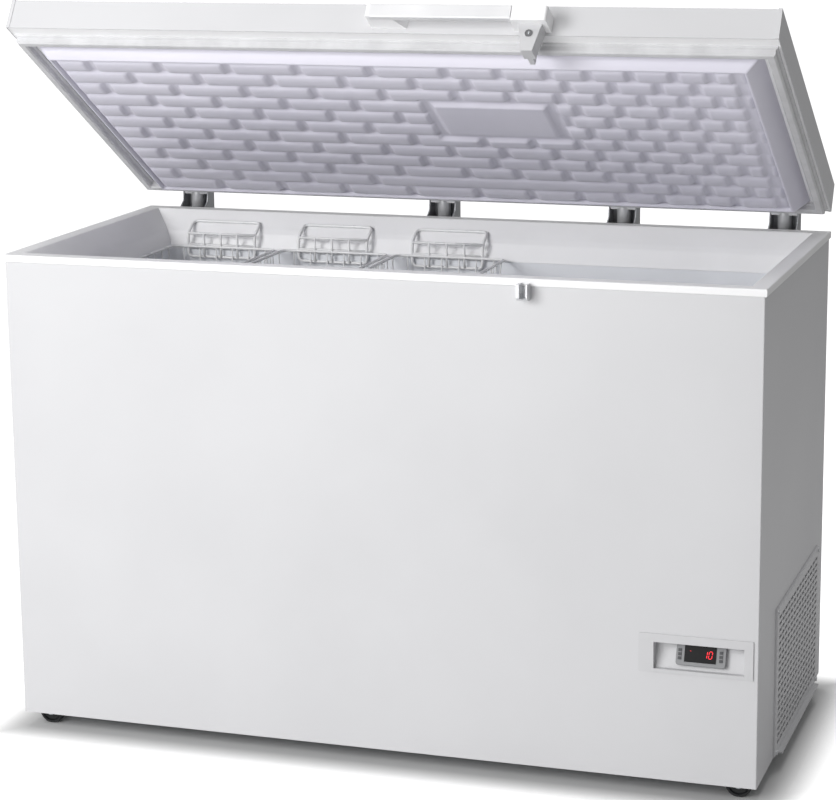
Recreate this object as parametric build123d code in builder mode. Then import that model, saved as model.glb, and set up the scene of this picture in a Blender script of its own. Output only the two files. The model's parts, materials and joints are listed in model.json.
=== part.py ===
"""Low temperature chest freezer with its lid open and three wire baskets.

Millimetres, +Z up. The origin lies on the floor under the middle of the cabinet,
X runs to the right, Y to the back. The lid's pieces are drawn on lid_plane, which
carries the closed lid's own coordinates to the open pose.
"""
from build123d import *
from math import cos, hypot, pi, radians, sin, atan2, degrees
import os

os.makedirs("parts", exist_ok=True)

# Cabinet
cabinet_width = 1260
cabinet_depth = 585
cabinet_height = 789
floor_gap = 28
wall = 70
floor_wall = 75
shell_sheet = 1.0
liner_sheet = 1.0
liner_corner = 20
base_sheet = 1.5
shell_corner = 2

# Rim frame: lip over the shell, flat for the gasket, then the throat's three slopes
rim_thickness = 3
rim_band = 12
rim_flat = 24
throat_slope = (26, 28)
throat_step = (6, 8)
throat_lower = (12, 28)

# Machine room under the step in the liner
room_width = 300
room_height = 260
room_insulation = 60
partition_sheet = 1.0

# Lid
lid_height = 50
lid_side_overhang = 4
lid_front_overhang = 26
lid_rear_overhang = 14
lid_gap = 14
lid_sheet = 1.0
lid_open_angle = 32
lid_travel = 78
end_wrap = 6
frame_thickness = 3
gasket_width = 20
gasket_edge = 2.5
gasket_clearance = 0.3
plug_depth = 26
plug_wall = 2
plug_side = (31, 60)
plug_front = (24.5, 40.5)

# Hinges
hinge_insets = (80, 82)
inner_hinges = (-69, 263)
pivot_behind = 40
pivot_above = 62
hinge_width = 50
hinge_sheet = 2
hinge_foot = 110
pin_radius = 4
pin_clearance = 0.05
ear_radius = 10
leaf_clearance = 0.6
cam_width = 6
cam_reach = 22.9
cam_lift_per_radian = 8
plunger_clearance = 0.2
plunger_width = 30
plunger_depth = 18
plunger_height = 22
spring_radius = 8.5
spring_wire = 3
spring_turns = 7

# Rollers
roller_radius = 21.5
roller_width = 18
roller_inset_x = 34
roller_inset_y = 40
axle_radius = 3
roller_gap = 1

# Lock and handle, on the lid's front
lock_x = 259
lock_top = 5
lock_drop = 40
lock_depth = 28
lock_cylinder_radius = 6
lock_cylinder_drop = 11
lock_bolt_radius = 2
lock_bolt_travel = 6.5
tongue_width = 8
bolt_wall = 0.5
keeper_drop = 21
keeper_clearance = 6
keeper_gap = 10.5
handle_reach = 40
bar_depth = 12
bar_bottom = 8
bar_height = 23
bar_left = 2
bar_length = 227
block_width = 57

# Controller in the front, lower right
panel_inset = 93.5
panel_drop = 585
pocket_width = 143
pocket_height = 43
pocket_depth = (7, 22)
bezel_width = 181
bezel_height = 63
bezel_proud = 2
key_travel = 0.8
key_clearance = 0.1

# Grille on the right side
grille_width = 390
grille_height = 246
grille_offset = 42.5
grille_floor = 3
grille_rows = 14
grille_columns = 6

# Baskets
basket_width = 205
basket_height = 200
basket_pitch = 215
basket_side_gap = 4.5
basket_end_gap = 6
basket_drop = 60
rim_wire = 5
mesh_wire = 3
hanger_width = 150

# Sizes worked out from the ones above
half_width = cabinet_width / 2
half_depth = cabinet_depth / 2
rim_top = floor_gap + cabinet_height
liner_half_x = half_width - wall
liner_half_y = half_depth - wall
liner_floor = floor_gap + floor_wall
room_left = half_width - room_width
room_top = floor_gap + room_height
step_left = room_left - room_insulation
step_top = room_top + room_insulation
base_top = floor_gap + base_sheet
shell_top = rim_top - rim_thickness

throat_line = [(-rim_thickness, -rim_band), (-rim_thickness, 0), (rim_flat, 0)]
for across, down in (throat_slope, throat_step, throat_lower, (0, 2)):
    last = throat_line[-1]
    throat_line.append((last[0] + across, last[1] - down))
liner_top = rim_top + throat_line[-1][1]

panel_x = half_width - panel_inset
hinge_places = (-half_width + hinge_insets[0], *inner_hinges, half_width - hinge_insets[1])
hinge_web = hinge_foot - rim_band - 1
basket_length = 2 * (liner_half_y - basket_end_gap)
basket_first = -liner_half_x + basket_side_gap + basket_width / 2

lid_width = cabinet_width + 2 * lid_side_overhang
lid_depth = cabinet_depth + lid_front_overhang + lid_rear_overhang
lid_back = half_depth + lid_rear_overhang
lid_front = lid_back - lid_depth
lid_half = lid_width / 2
pivot_y = half_depth + pivot_behind
pivot_z = rim_top + pivot_above
skirt_z = rim_top + lid_gap
pivot_v = pivot_z - skirt_z

open_cos = cos(radians(lid_open_angle))
open_sin = sin(radians(lid_open_angle))
lid_plane = Plane(
    origin=(
        0,
        pivot_y - pivot_y * open_cos + (skirt_z - pivot_z) * open_sin,
        pivot_z + pivot_y * open_sin + (skirt_z - pivot_z) * open_cos,
    ),
    x_dir=(1, 0, 0),
    z_dir=(0, open_sin, open_cos),
)
lid_side = Plane(
    origin=lid_plane.origin, x_dir=lid_plane.y_dir, z_dir=lid_plane.x_dir
)


def lid_face(y):
    """Plane square to the lid at depth y, facing the lid's front."""
    return Plane(
        origin=lid_plane.from_local_coords((0, y, 0)),
        x_dir=lid_plane.x_dir,
        z_dir=-lid_plane.y_dir,
    )


def beside(line, thickness):
    """Points of the line that runs alongside, a thickness to its right."""
    shifted = []
    for i, (x, y) in enumerate(line):
        normals = []
        for a, b in ((i - 1, i), (i, i + 1)):
            if a >= 0 and b < len(line):
                dx, dy = line[b][0] - line[a][0], line[b][1] - line[a][1]
                run = hypot(dx, dy)
                normals.append((dy / run, -dx / run))
        nx = sum(n[0] for n in normals)
        ny = sum(n[1] for n in normals)
        share = 2 * thickness / (nx * nx + ny * ny) if len(normals) == 2 else thickness
        shifted.append((x + nx * share, y + ny * share))
    return shifted


def ring(plane, half_x, half_y, points):
    """A mitred frame: the outline (inward, up) carried round a rectangle."""
    start = Plane(
        origin=plane.from_local_coords((0, -half_y, 0)),
        x_dir=plane.y_dir,
        z_dir=plane.x_dir,
    )
    with BuildPart() as frame:
        with BuildLine(plane):
            Polyline(
                (0, -half_y),
                (half_x, -half_y),
                (half_x, half_y),
                (-half_x, half_y),
                (-half_x, -half_y),
                (0, -half_y),
            )
        with BuildSketch(start):
            with BuildLine():
                Polyline(*points, close=True)
            make_face()
        sweep(transition=Transition.RIGHT)
    return frame.part


def tub_section(spread, top):
    """The liner's outline seen from the front, grown by spread."""
    return [
        (-liner_half_x - spread, top),
        (-liner_half_x - spread, liner_floor - spread),
        (step_left + spread, liner_floor - spread),
        (step_left + spread, step_top - spread),
        (liner_half_x + spread, step_top - spread),
        (liner_half_x + spread, top),
    ]


def tube(points, bend, radius):
    """A round tube along straight runs joined by arcs."""
    with BuildPart() as piece:
        with BuildLine() as path:
            FilletPolyline(*points, radius=bend)
        with BuildSketch(Plane(origin=path.line @ 0, z_dir=path.line % 0)):
            Circle(radius)
        sweep()
    return piece.part


def tub(spread):
    """The liner's block grown by spread, with rounded upright corners."""
    with BuildPart() as block:
        with BuildSketch(Plane.XZ):
            with BuildLine():
                Polyline(*tub_section(spread, liner_top), close=True)
            make_face()
        extrude(amount=liner_half_y + spread, both=True)
        corners = [
            edge
            for edge in block.edges().filter_by(Axis.Z)
            if abs(edge.center().X) > liner_half_x
            or (spread == 0 and abs(edge.center().X) > step_left + 1)
        ]
        fillet(corners, liner_corner + spread)
    return block.part


# Outer shell: one folded sheet for the front and both sides
controller_z = rim_top - panel_drop
grille_z = floor_gap + grille_floor + grille_height / 2
with BuildPart() as outer_shell:
    with BuildSketch(Plane.XY.offset(floor_gap)):
        Rectangle(cabinet_width, cabinet_depth)
        fillet(
            [v for v in vertices() if v.Y < 0],
            shell_corner,
        )
        with BuildLine():
            inner_x = half_width - shell_sheet
            inner_y = half_depth - shell_sheet
            Polyline(
                (-inner_x, half_depth),
                (-inner_x, -inner_y),
                (inner_x, -inner_y),
                (inner_x, half_depth),
                close=True,
            )
        make_face(mode=Mode.SUBTRACT)
    extrude(amount=shell_top - floor_gap)
    with BuildSketch(Plane.XZ.offset(half_depth - 2 * shell_sheet)):
        with Locations((panel_x, controller_z)):
            Rectangle(pocket_width + 8, pocket_height + 8)
    extrude(amount=4 * shell_sheet, mode=Mode.SUBTRACT)
    with BuildSketch(Plane.YZ.offset(half_width - 2 * shell_sheet)):
        with Locations((grille_offset, grille_z)):
            Rectangle(grille_width - 20, grille_height - 20)
    extrude(amount=4 * shell_sheet, mode=Mode.SUBTRACT)
outer_shell.part.label = "outer_shell"
export_step(outer_shell.part, "parts/outer_shell.step")

# Back panel, with vent slots behind the machine room
room_middle = (room_left + half_width) / 2
with BuildPart() as back_panel:
    with BuildSketch(Plane.XZ.offset(-half_depth)):
        with Locations((0, (floor_gap + shell_top) / 2)):
            Rectangle(cabinet_width - 2 * shell_sheet, shell_top - floor_gap)
        with Locations((room_middle, floor_gap + room_height / 2)):
            with GridLocations(0, 22, 1, 7):
                SlotOverall(0.6 * room_width, 7, mode=Mode.SUBTRACT)
    extrude(amount=shell_sheet)
back_panel.part.label = "back_panel"
export_step(back_panel.part, "parts/back_panel.step")

# Base pan, open over each roller
roller_x = half_width - roller_inset_x
roller_y = half_depth - roller_inset_y
inside_depth = cabinet_depth - 2 * shell_sheet
bracket_length = 2 * roller_radius + 7
bracket_width = roller_width + 2 * roller_gap + 2 * hinge_sheet
with BuildPart() as base_pan:
    with BuildSketch(Plane.XY.offset(floor_gap)):
        Rectangle(cabinet_width - 2 * shell_sheet, inside_depth)
        with GridLocations(2 * roller_x, 2 * roller_y, 2, 2):
            Rectangle(bracket_length, bracket_width, mode=Mode.SUBTRACT)
    extrude(amount=base_sheet)
base_pan.part.label = "base_pan"
export_step(base_pan.part, "parts/base_pan.step")

# Roller brackets: an upturned channel with a flange on the pan and an eye each side
bracket_top = 2 * roller_radius + 5
flange_length = bracket_length + 14
flange_width = bracket_width + 12
with BuildPart() as roller_brackets:
    with BuildSketch(Plane.XY.offset(base_top)):
        with GridLocations(2 * roller_x, 2 * roller_y, 2, 2):
            Rectangle(flange_length, flange_width)
    extrude(amount=hinge_sheet)
    with BuildSketch(Plane.XY.offset(floor_gap)):
        with GridLocations(2 * roller_x, 2 * roller_y, 2, 2):
            Rectangle(bracket_length, bracket_width)
    extrude(amount=bracket_top - floor_gap)
    for y in (-roller_y, roller_y):
        with BuildSketch(Plane.XZ.offset(-y)):
            for x in (-roller_x, roller_x):
                with Locations((x, roller_radius)):
                    Circle(2.2 * axle_radius)
                with Locations((x, (roller_radius + floor_gap) / 2)):
                    Rectangle(4.4 * axle_radius, floor_gap - roller_radius)
        extrude(amount=bracket_width / 2, both=True)
    with BuildSketch(Plane.XY):
        with GridLocations(2 * roller_x, 2 * roller_y, 2, 2):
            Rectangle(bracket_length - 2 * hinge_sheet, roller_width + 2 * roller_gap)
    extrude(amount=bracket_top - hinge_sheet, mode=Mode.SUBTRACT)
    for y in (-roller_y, roller_y):
        with BuildSketch(Plane.XZ.offset(-y)):
            with Locations((-roller_x, roller_radius), (roller_x, roller_radius)):
                Circle(axle_radius)
        extrude(amount=bracket_width, both=True, mode=Mode.SUBTRACT)
roller_brackets.part.label = "roller_brackets"
export_step(roller_brackets.part, "parts/roller_brackets.step")

# Roller axles: a headed steel pin through both eyes
with BuildPart() as roller_axles:
    for y in (-roller_y, roller_y):
        with BuildSketch(Plane.XZ.offset(-y)):
            with Locations((-roller_x, roller_radius), (roller_x, roller_radius)):
                Circle(axle_radius)
        extrude(amount=bracket_width / 2, both=True)
        for end in (-1, 1):
            with BuildSketch(Plane.XZ.offset(-y + end * bracket_width / 2)):
                with Locations((-roller_x, roller_radius), (roller_x, roller_radius)):
                    Circle(1.6 * axle_radius)
            extrude(amount=end * 1.5)
roller_axles.part.label = "roller_axles"
export_step(roller_axles.part, "parts/roller_axles.step")


# Rollers: nylon wheels with a raised hub and a dished face
def make_roller(name, x, y):
    half = roller_width / 2
    with BuildPart() as roller:
        with BuildSketch(Plane.YZ.offset(x)):
            with BuildLine():
                Polyline(
                    (y - half, roller_radius + axle_radius + pin_clearance),
                    (y - half, roller_radius + 3 * axle_radius),
                    (y - half + 3, roller_radius + 3.4 * axle_radius),
                    (y - half + 3, 2 * roller_radius - 6),
                    (y - half, 2 * roller_radius - 4),
                    (y - half, 2 * roller_radius - 1.5),
                    (y - half + 1.5, 2 * roller_radius),
                    (y + half - 1.5, 2 * roller_radius),
                    (y + half, 2 * roller_radius - 1.5),
                    (y + half, roller_radius + axle_radius + pin_clearance),
                    close=True,
                )
            make_face()
        revolve(axis=Axis((x, y, roller_radius), (0, 1, 0)))
    roller.part.label = name
    export_step(roller.part, "parts/" + name + ".step")


make_roller("roller_front_left", -roller_x, -roller_y)
make_roller("roller_front_right", roller_x, -roller_y)
make_roller("roller_back_left", -roller_x, roller_y)
make_roller("roller_back_right", roller_x, roller_y)

# Liner: a stepped sheet metal tub with a flange under the rim frame
flange_inset = wall - 10
with BuildPart() as liner:
    add(tub(liner_sheet))
    with BuildSketch(Plane.XY.offset(liner_top - liner_sheet)):
        Rectangle(cabinet_width - 2 * flange_inset, cabinet_depth - 2 * flange_inset)
    extrude(amount=liner_sheet)
    add(tub(0), mode=Mode.SUBTRACT)
liner.part.label = "liner"
export_step(liner.part, "parts/liner.step")

# Rim frame: lip, flat and throat in one mitred moulding
throat_back = beside(throat_line, rim_thickness)
with BuildPart() as rim_frame:
    add(
        ring(
            Plane.XY.offset(rim_top),
            half_width,
            half_depth,
            throat_line + throat_back[::-1],
        )
    )
rim_frame.part.label = "rim_frame"
export_step(rim_frame.part, "parts/rim_frame.step")

# Evaporator: a tube wound round the outside of the liner above the step, its two
# ends dropping through the foam into the machine room
coil_radius = 4
coil_turns = 4
coil_pitch = 48
coil_bend = liner_corner + liner_sheet + coil_radius
coil_bottom = step_top + 60
coil_end = room_top - 20
coil_x = liner_half_x + liner_sheet + coil_radius + 0.01
coil_y = liner_half_y + liner_sheet + coil_radius + 0.01
tail_x = coil_x + 2.5 * coil_radius
supply_y = -150
return_y = 170
coil_path = [(coil_x, return_y, coil_end), (coil_x, return_y, coil_bottom)]
for turn in range(coil_turns):
    z = coil_bottom + turn * coil_pitch
    if turn > 0:
        coil_path.append((coil_x, -coil_y, z))
    coil_path += [(coil_x, coil_y, z), (-coil_x, coil_y, z + coil_pitch)]
    coil_path.append((-coil_x, -coil_y, z + coil_pitch))
coil_top = coil_bottom + coil_turns * coil_pitch
coil_path.append((coil_x, -coil_y, coil_top))
coil_path += [(tail_x, supply_y, coil_top), (tail_x, supply_y, coil_end)]
with BuildPart() as evaporator_coil:
    add(tube(coil_path, coil_bend, coil_radius))
evaporator_coil.part.label = "evaporator_coil"
export_step(evaporator_coil.part, "parts/evaporator_coil.step")

# Machine room partition, a folded sheet that closes the foam off
with BuildPart() as machine_room_panel:
    with BuildSketch(Plane.XZ.offset(-half_depth + shell_sheet)):
        with BuildLine():
            Polyline(
                (room_left - partition_sheet, base_top),
                (room_left - partition_sheet, room_top + partition_sheet),
                (half_width - shell_sheet, room_top + partition_sheet),
                (half_width - shell_sheet, room_top),
                (room_left, room_top),
                (room_left, base_top),
                close=True,
            )
        make_face()
    extrude(amount=inside_depth)
    with BuildSketch(Plane.XY.offset(room_top)):
        with Locations((coil_x, return_y), (tail_x, supply_y)):
            Circle(coil_radius)
    extrude(amount=partition_sheet, mode=Mode.SUBTRACT)
machine_room_panel.part.label = "machine_room_panel"
export_step(machine_room_panel.part, "parts/machine_room_panel.step")

# Foam insulation between shell and liner, with the coil's pocket left open
pocket_x = tail_x + 2 * coil_radius
pocket_y = coil_y + 2 * coil_radius
with BuildPart() as insulation:
    with BuildSketch(Plane.XY.offset(base_top)):
        Rectangle(cabinet_width - 2 * shell_sheet, inside_depth)
    extrude(amount=shell_top - base_top)
    add(tub(liner_sheet), mode=Mode.SUBTRACT)
    with BuildSketch(Plane.XY.offset(liner_top - liner_sheet)):
        Rectangle(cabinet_width - 2 * flange_inset, cabinet_depth - 2 * flange_inset)
    extrude(amount=liner_sheet, mode=Mode.SUBTRACT)
    for lower, upper in zip(throat_back[:2:-1], throat_back[-2:1:-1]):
        for inward, up in (lower, upper):
            with BuildSketch(Plane.XY.offset(rim_top + up)):
                Rectangle(cabinet_width - 2 * inward, cabinet_depth - 2 * inward)
        loft(mode=Mode.SUBTRACT)
    with BuildSketch(Plane.XY.offset(coil_bottom - 2 * coil_radius)):
        Rectangle(2 * pocket_x, 2 * pocket_y)
    extrude(amount=coil_top - coil_bottom + 4 * coil_radius, mode=Mode.SUBTRACT)
    with BuildSketch(Plane.XZ):
        with BuildLine():
            Polyline(
                (room_left - partition_sheet, 0),
                (room_left - partition_sheet, room_top + partition_sheet),
                (half_width, room_top + partition_sheet),
                (half_width, 0),
                close=True,
            )
        make_face()
    extrude(amount=half_depth, both=True, mode=Mode.SUBTRACT)
    with BuildSketch(Plane.XY.offset(room_top)):
        with Locations((coil_x, return_y), (tail_x, supply_y)):
            Circle(coil_radius)
    extrude(amount=coil_bottom - room_top, mode=Mode.SUBTRACT)
    with BuildSketch(Plane.XY.offset(base_top)):
        with Locations((-roller_x, -roller_y), (-roller_x, roller_y)):
            Rectangle(flange_length + 1, flange_width + 1)
    extrude(amount=bracket_top - base_top + 1, mode=Mode.SUBTRACT)
insulation.part.label = "insulation"
export_step(insulation.part, "parts/insulation.step")

# Compressor: a welded can on a foot plate
compressor_x = room_left + room_width / 3
compressor_y = 90
compressor_radius = 75
mount_spread = (78, 52)
plate_margin = (12, 13)
mount_height = 12
plate_thickness = 4
can_bottom = base_top + mount_height + plate_thickness
can_top = can_bottom + 170
mount_places = [
    (compressor_x + i * mount_spread[0], compressor_y + j * mount_spread[1])
    for i in (-1, 1)
    for j in (-1, 1)
]
plate_size = [2 * (spread + margin) for spread, margin in zip(mount_spread, plate_margin)]
with BuildPart() as compressor:
    with BuildSketch(Plane.XZ.offset(-compressor_y)):
        with BuildLine():
            Polyline(
                (compressor_x, can_bottom),
                (compressor_x + 48, can_bottom),
                (compressor_x + 68, can_bottom + 12),
                (compressor_x + compressor_radius, can_bottom + 32),
                (compressor_x + compressor_radius, can_top - 45),
                (compressor_x + compressor_radius - 9, can_top - 18),
                (compressor_x + 42, can_top),
                (compressor_x, can_top),
                close=True,
            )
        make_face()
    revolve(axis=Axis((compressor_x, compressor_y, 0), (0, 0, 1)))
    with BuildSketch(Plane.XY.offset(can_bottom - plate_thickness)):
        with Locations((compressor_x, compressor_y)):
            Rectangle(*plate_size)
        with Locations(*mount_places):
            Circle(6, mode=Mode.SUBTRACT)
    extrude(amount=plate_thickness)
compressor.part.label = "compressor"
export_step(compressor.part, "parts/compressor.step")

# Rubber mounts between the base pan and the compressor's plate
with BuildPart() as compressor_mounts:
    for height, start, radius in (
        (mount_height, base_top, 11),
        (plate_thickness, base_top + mount_height, 6),
        (4, can_bottom, 9),
    ):
        with BuildSketch(Plane.XY.offset(start)):
            with Locations(*mount_places):
                Circle(radius)
        extrude(amount=height)
compressor_mounts.part.label = "compressor_mounts"
export_step(compressor_mounts.part, "parts/compressor_mounts.step")

# Start relay in its box, hugging the can
with BuildPart() as relay_box:
    with BuildSketch(Plane.XY.offset(can_bottom + 45)):
        with Locations((compressor_x - 10, compressor_y - compressor_radius - 8)):
            Rectangle(56, 40)
        with Locations((compressor_x, compressor_y)):
            Circle(compressor_radius, mode=Mode.SUBTRACT)
    extrude(amount=60)
relay_box.part.label = "relay_box"
export_step(relay_box.part, "parts/relay_box.step")

# Condenser: a finned core between two end plates, with its return bends
condenser_depth = 30
condenser_x = half_width - condenser_depth
condenser_width = 300
condenser_low = 45
condenser_high = 250
condenser_fins = 19
condenser_middle = (condenser_low + condenser_high) / 2
condenser_front = grille_offset - condenser_width / 2
bend_pitch = 32
with BuildPart() as condenser:
    with BuildSketch(Plane.XZ.offset(-grille_offset)):
        with Locations((condenser_x, condenser_middle)):
            Rectangle(condenser_depth - 14, condenser_high - condenser_low - 10)
    extrude(amount=condenser_width / 2, both=True)
    with BuildSketch(Plane.XY.offset(condenser_low + 3)):
        with Locations((condenser_x, grille_offset)):
            with GridLocations(0, condenser_width / (condenser_fins + 1), 1, condenser_fins):
                Rectangle(condenser_depth - 2, 1.5)
    extrude(amount=condenser_high - condenser_low - 6)
    for y in (condenser_front, condenser_front + condenser_width - 2):
        with BuildSketch(Plane.XZ.offset(-y)):
            with Locations((condenser_x, (base_top + condenser_high) / 2)):
                Rectangle(condenser_depth, condenser_high - base_top)
        extrude(amount=-2)
    with BuildSketch(Plane.XY.offset(condenser_high)):
        with Locations((condenser_x, grille_offset + 27.5)):
            Circle(5)
    extrude(amount=-8)
    for k in (-2, 0, 2):
        low = condenser_middle + (k - 0.5) * bend_pitch
        with BuildSketch(Plane.XZ.offset(-condenser_front)):
            with Locations((condenser_x, low)):
                Circle(4)
        revolve(
            axis=Axis((condenser_x, condenser_front, low + bend_pitch / 2), (1, 0, 0)),
            revolution_arc=180,
        )
condenser.part.label = "condenser"
export_step(condenser.part, "parts/condenser.step")

# Fan shroud on the condenser, with the motor's cross on four posts
shroud_x = condenser_x - condenser_depth / 2
fan_z = condenser_middle
fan_radius = 88
post_reach = 100
with BuildPart() as fan_shroud:
    with BuildSketch(Plane.YZ.offset(shroud_x)):
        with Locations((grille_offset, condenser_middle)):
            Rectangle(condenser_width, condenser_high - condenser_low)
    extrude(amount=-10)
    with BuildSketch(Plane.YZ.offset(shroud_x)):
        with Locations((grille_offset, condenser_middle)):
            Rectangle(condenser_width - 4, condenser_high - condenser_low - 4)
    extrude(amount=-8, mode=Mode.SUBTRACT)
    with BuildSketch(Plane.YZ.offset(shroud_x - 10)):
        with Locations((grille_offset, fan_z)):
            Circle(fan_radius + 5)
    extrude(amount=2, mode=Mode.SUBTRACT)
    with BuildSketch(Plane.YZ.offset(shroud_x - 10)):
        with Locations((grille_offset, fan_z)):
            with PolarLocations(post_reach * 2 ** 0.5, 4, start_angle=45):
                Circle(5)
    extrude(amount=-22)
    with BuildSketch(Plane.YZ.offset(shroud_x - 32)):
        for turn in (45, -45):
            with Locations((grille_offset, fan_z)):
                Rectangle(2 * post_reach * 2 ** 0.5, 14, rotation=turn)
        with Locations((grille_offset, fan_z)):
            Circle(20)
            Circle(6, mode=Mode.SUBTRACT)
    extrude(amount=-3)
fan_shroud.part.label = "fan_shroud"
export_step(fan_shroud.part, "parts/fan_shroud.step")

# Fan motor behind the cross
motor_front = shroud_x - 35
shaft_radius = 3
with BuildPart() as fan_motor:
    with BuildSketch(Plane.YZ.offset(motor_front)):
        with Locations((grille_offset, fan_z)):
            Circle(30)
    extrude(amount=-38)
    chamfer(fan_motor.edges().filter_by(GeomType.CIRCLE), 4)
    with BuildSketch(Plane.YZ.offset(motor_front)):
        with Locations((grille_offset, fan_z)):
            Circle(shaft_radius + pin_clearance)
    extrude(amount=-16, mode=Mode.SUBTRACT)
fan_motor.part.label = "fan_motor"
export_step(fan_motor.part, "parts/fan_motor.step")

# Fan wheel: hub, five pitched blades and the shaft in the motor's bore
blade_x = shroud_x - 19
with BuildPart() as fan_blades:
    with BuildSketch(Plane.YZ.offset(blade_x - 9)):
        with Locations((grille_offset, fan_z)):
            Circle(22)
    extrude(amount=18)
    for blade in range(5):
        spoke = Plane(
            origin=(blade_x, grille_offset, fan_z),
            x_dir=(1, 0, 0),
            z_dir=(0, cos(2 * pi * blade / 5), sin(2 * pi * blade / 5)),
        )
        with BuildSketch(spoke.offset(18)):
            Rectangle(2.5, 52, rotation=-65 + 90)
        extrude(amount=fan_radius - 18)
    with BuildSketch(Plane.YZ.offset(motor_front - 15)):
        with Locations((grille_offset, fan_z)):
            Circle(shaft_radius)
    extrude(amount=blade_x - motor_front + 15)
fan_blades.part.label = "fan_blades"
export_step(fan_blades.part, "parts/fan_blades.step")

# Filter drier in the liquid line
drier_z = 60
drier_left = compressor_x
drier_right = drier_left + 90
with BuildPart() as filter_drier:
    with BuildSketch(Plane.XZ.offset(-supply_y)):
        with BuildLine():
            Polyline(
                (drier_left, drier_z),
                (drier_left, drier_z + 4),
                (drier_left + 10, drier_z + 9),
                (drier_right - 10, drier_z + 9),
                (drier_right, drier_z + 4),
                (drier_right, drier_z),
                close=True,
            )
        make_face()
    revolve(axis=Axis((drier_left, supply_y, drier_z), (1, 0, 0)))
filter_drier.part.label = "filter_drier"
export_step(filter_drier.part, "parts/filter_drier.step")

# Refrigerant tubes: discharge, suction, liquid line and capillary
suction_z = coil_end - 24
discharge_z = condenser_high + 12
discharge_y = grille_offset + 27.5
discharge_x = compressor_x - 25
suction_x = compressor_x + 25
suction_y = compressor_y + 20
with BuildPart() as refrigerant_tubes:
    add(
        tube(
            [
                (discharge_x, discharge_y, can_top),
                (discharge_x, discharge_y, discharge_z),
                (condenser_x, discharge_y, discharge_z),
                (condenser_x, discharge_y, condenser_high),
            ],
            10,
            3,
        )
    )
    add(
        tube(
            [
                (coil_x, return_y, coil_end),
                (coil_x, return_y, suction_z),
                (suction_x, return_y, suction_z),
                (suction_x, suction_y, suction_z),
                (suction_x, suction_y, can_top),
            ],
            10,
            3,
        )
    )
    add(
        tube(
            [
                (condenser_x, condenser_front, drier_z),
                (condenser_x, supply_y, drier_z),
                (drier_right, supply_y, drier_z),
            ],
            12,
            3,
        )
    )
    add(
        tube(
            [
                (drier_left, supply_y, drier_z),
                (drier_left - 55, supply_y, drier_z),
                (drier_left - 55, supply_y, suction_z),
                (tail_x, supply_y, suction_z),
                (tail_x, supply_y, coil_end),
            ],
            15,
            3,
        )
    )
refrigerant_tubes.part.label = "refrigerant_tubes"
export_step(refrigerant_tubes.part, "parts/refrigerant_tubes.step")

# Temperature probe clipped to the liner's step wall
with BuildPart() as temperature_probe:
    with BuildSketch(Plane.YZ.offset(step_left)):
        with Locations((0, step_top - 60)):
            Rectangle(14, 22)
    extrude(amount=-8)
    with BuildSketch(Plane.XZ):
        with Locations((step_left - 5, step_top - 60)):
            Circle(5)
    extrude(amount=28, both=True)
temperature_probe.part.label = "temperature_probe"
export_step(temperature_probe.part, "parts/temperature_probe.step")

# Grille over the machine room's opening in the right side
screw_head = 4
screw_shank = 2
screw_height = 2.5
grille_sheet = 4
grille_screws = [
    (grille_offset + dy, grille_z + dz)
    for dy in (-grille_width / 2 + 6, grille_width / 2 - 6)
    for dz in (-grille_height / 2 + 6, grille_height / 2 - 6)
]
slot_pitch_y = (grille_width - 30) / grille_columns
slot_pitch_z = (grille_height - 26) / grille_rows
with BuildPart() as grille:
    with BuildSketch(Plane.YZ.offset(half_width)):
        with Locations((grille_offset, grille_z)):
            Rectangle(grille_width, grille_height)
            with GridLocations(slot_pitch_y, slot_pitch_z, grille_columns, grille_rows):
                Rectangle(slot_pitch_y - 8, slot_pitch_z * 0.55, mode=Mode.SUBTRACT)
        with Locations(*grille_screws):
            Circle(screw_shank, mode=Mode.SUBTRACT)
    extrude(amount=grille_sheet)
    with BuildSketch(Plane.YZ.offset(half_width)):
        with Locations((grille_offset, floor_gap + grille_floor + 1.5)):
            Rectangle(grille_width - 40, 3)
    extrude(amount=grille_sheet + 8)
grille.part.label = "grille"
export_step(grille.part, "parts/grille.step")

# Controller bezel: a plate on the front with a pocket whose floor leans back
front = -half_depth
pocket_rise = pocket_height
lean = atan2(pocket_depth[1] - pocket_depth[0], pocket_rise)
pocket_low = controller_z - pocket_height / 2
pocket_high = controller_z + pocket_height / 2
with BuildPart() as controller_bezel:
    with BuildSketch(Plane.XZ.offset(half_depth)):
        with Locations((panel_x - 5, controller_z + 3.5)):
            RectangleRounded(bezel_width, bezel_height, 2)
    extrude(amount=bezel_proud)
    with BuildSketch(Plane.YZ.offset(panel_x - pocket_width / 2 - 2)):
        with BuildLine():
            Polyline(
                (front, pocket_low - 2),
                (front + pocket_depth[0] + 2, pocket_low - 2),
                (front + pocket_depth[1] + 2, pocket_high + 2),
                (front, pocket_high + 2),
                close=True,
            )
        make_face()
    extrude(amount=pocket_width + 4)
    with BuildSketch(Plane.YZ.offset(panel_x - pocket_width / 2)):
        with BuildLine():
            Polyline(
                (front - 2 * bezel_proud, pocket_low),
                (front + pocket_depth[0], pocket_low),
                (front + pocket_depth[1], pocket_high),
                (front - 2 * bezel_proud, pocket_high),
                close=True,
            )
        make_face()
    extrude(amount=pocket_width, mode=Mode.SUBTRACT)
controller_bezel.part.label = "controller_bezel"
export_step(controller_bezel.part, "parts/controller_bezel.step")

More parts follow.
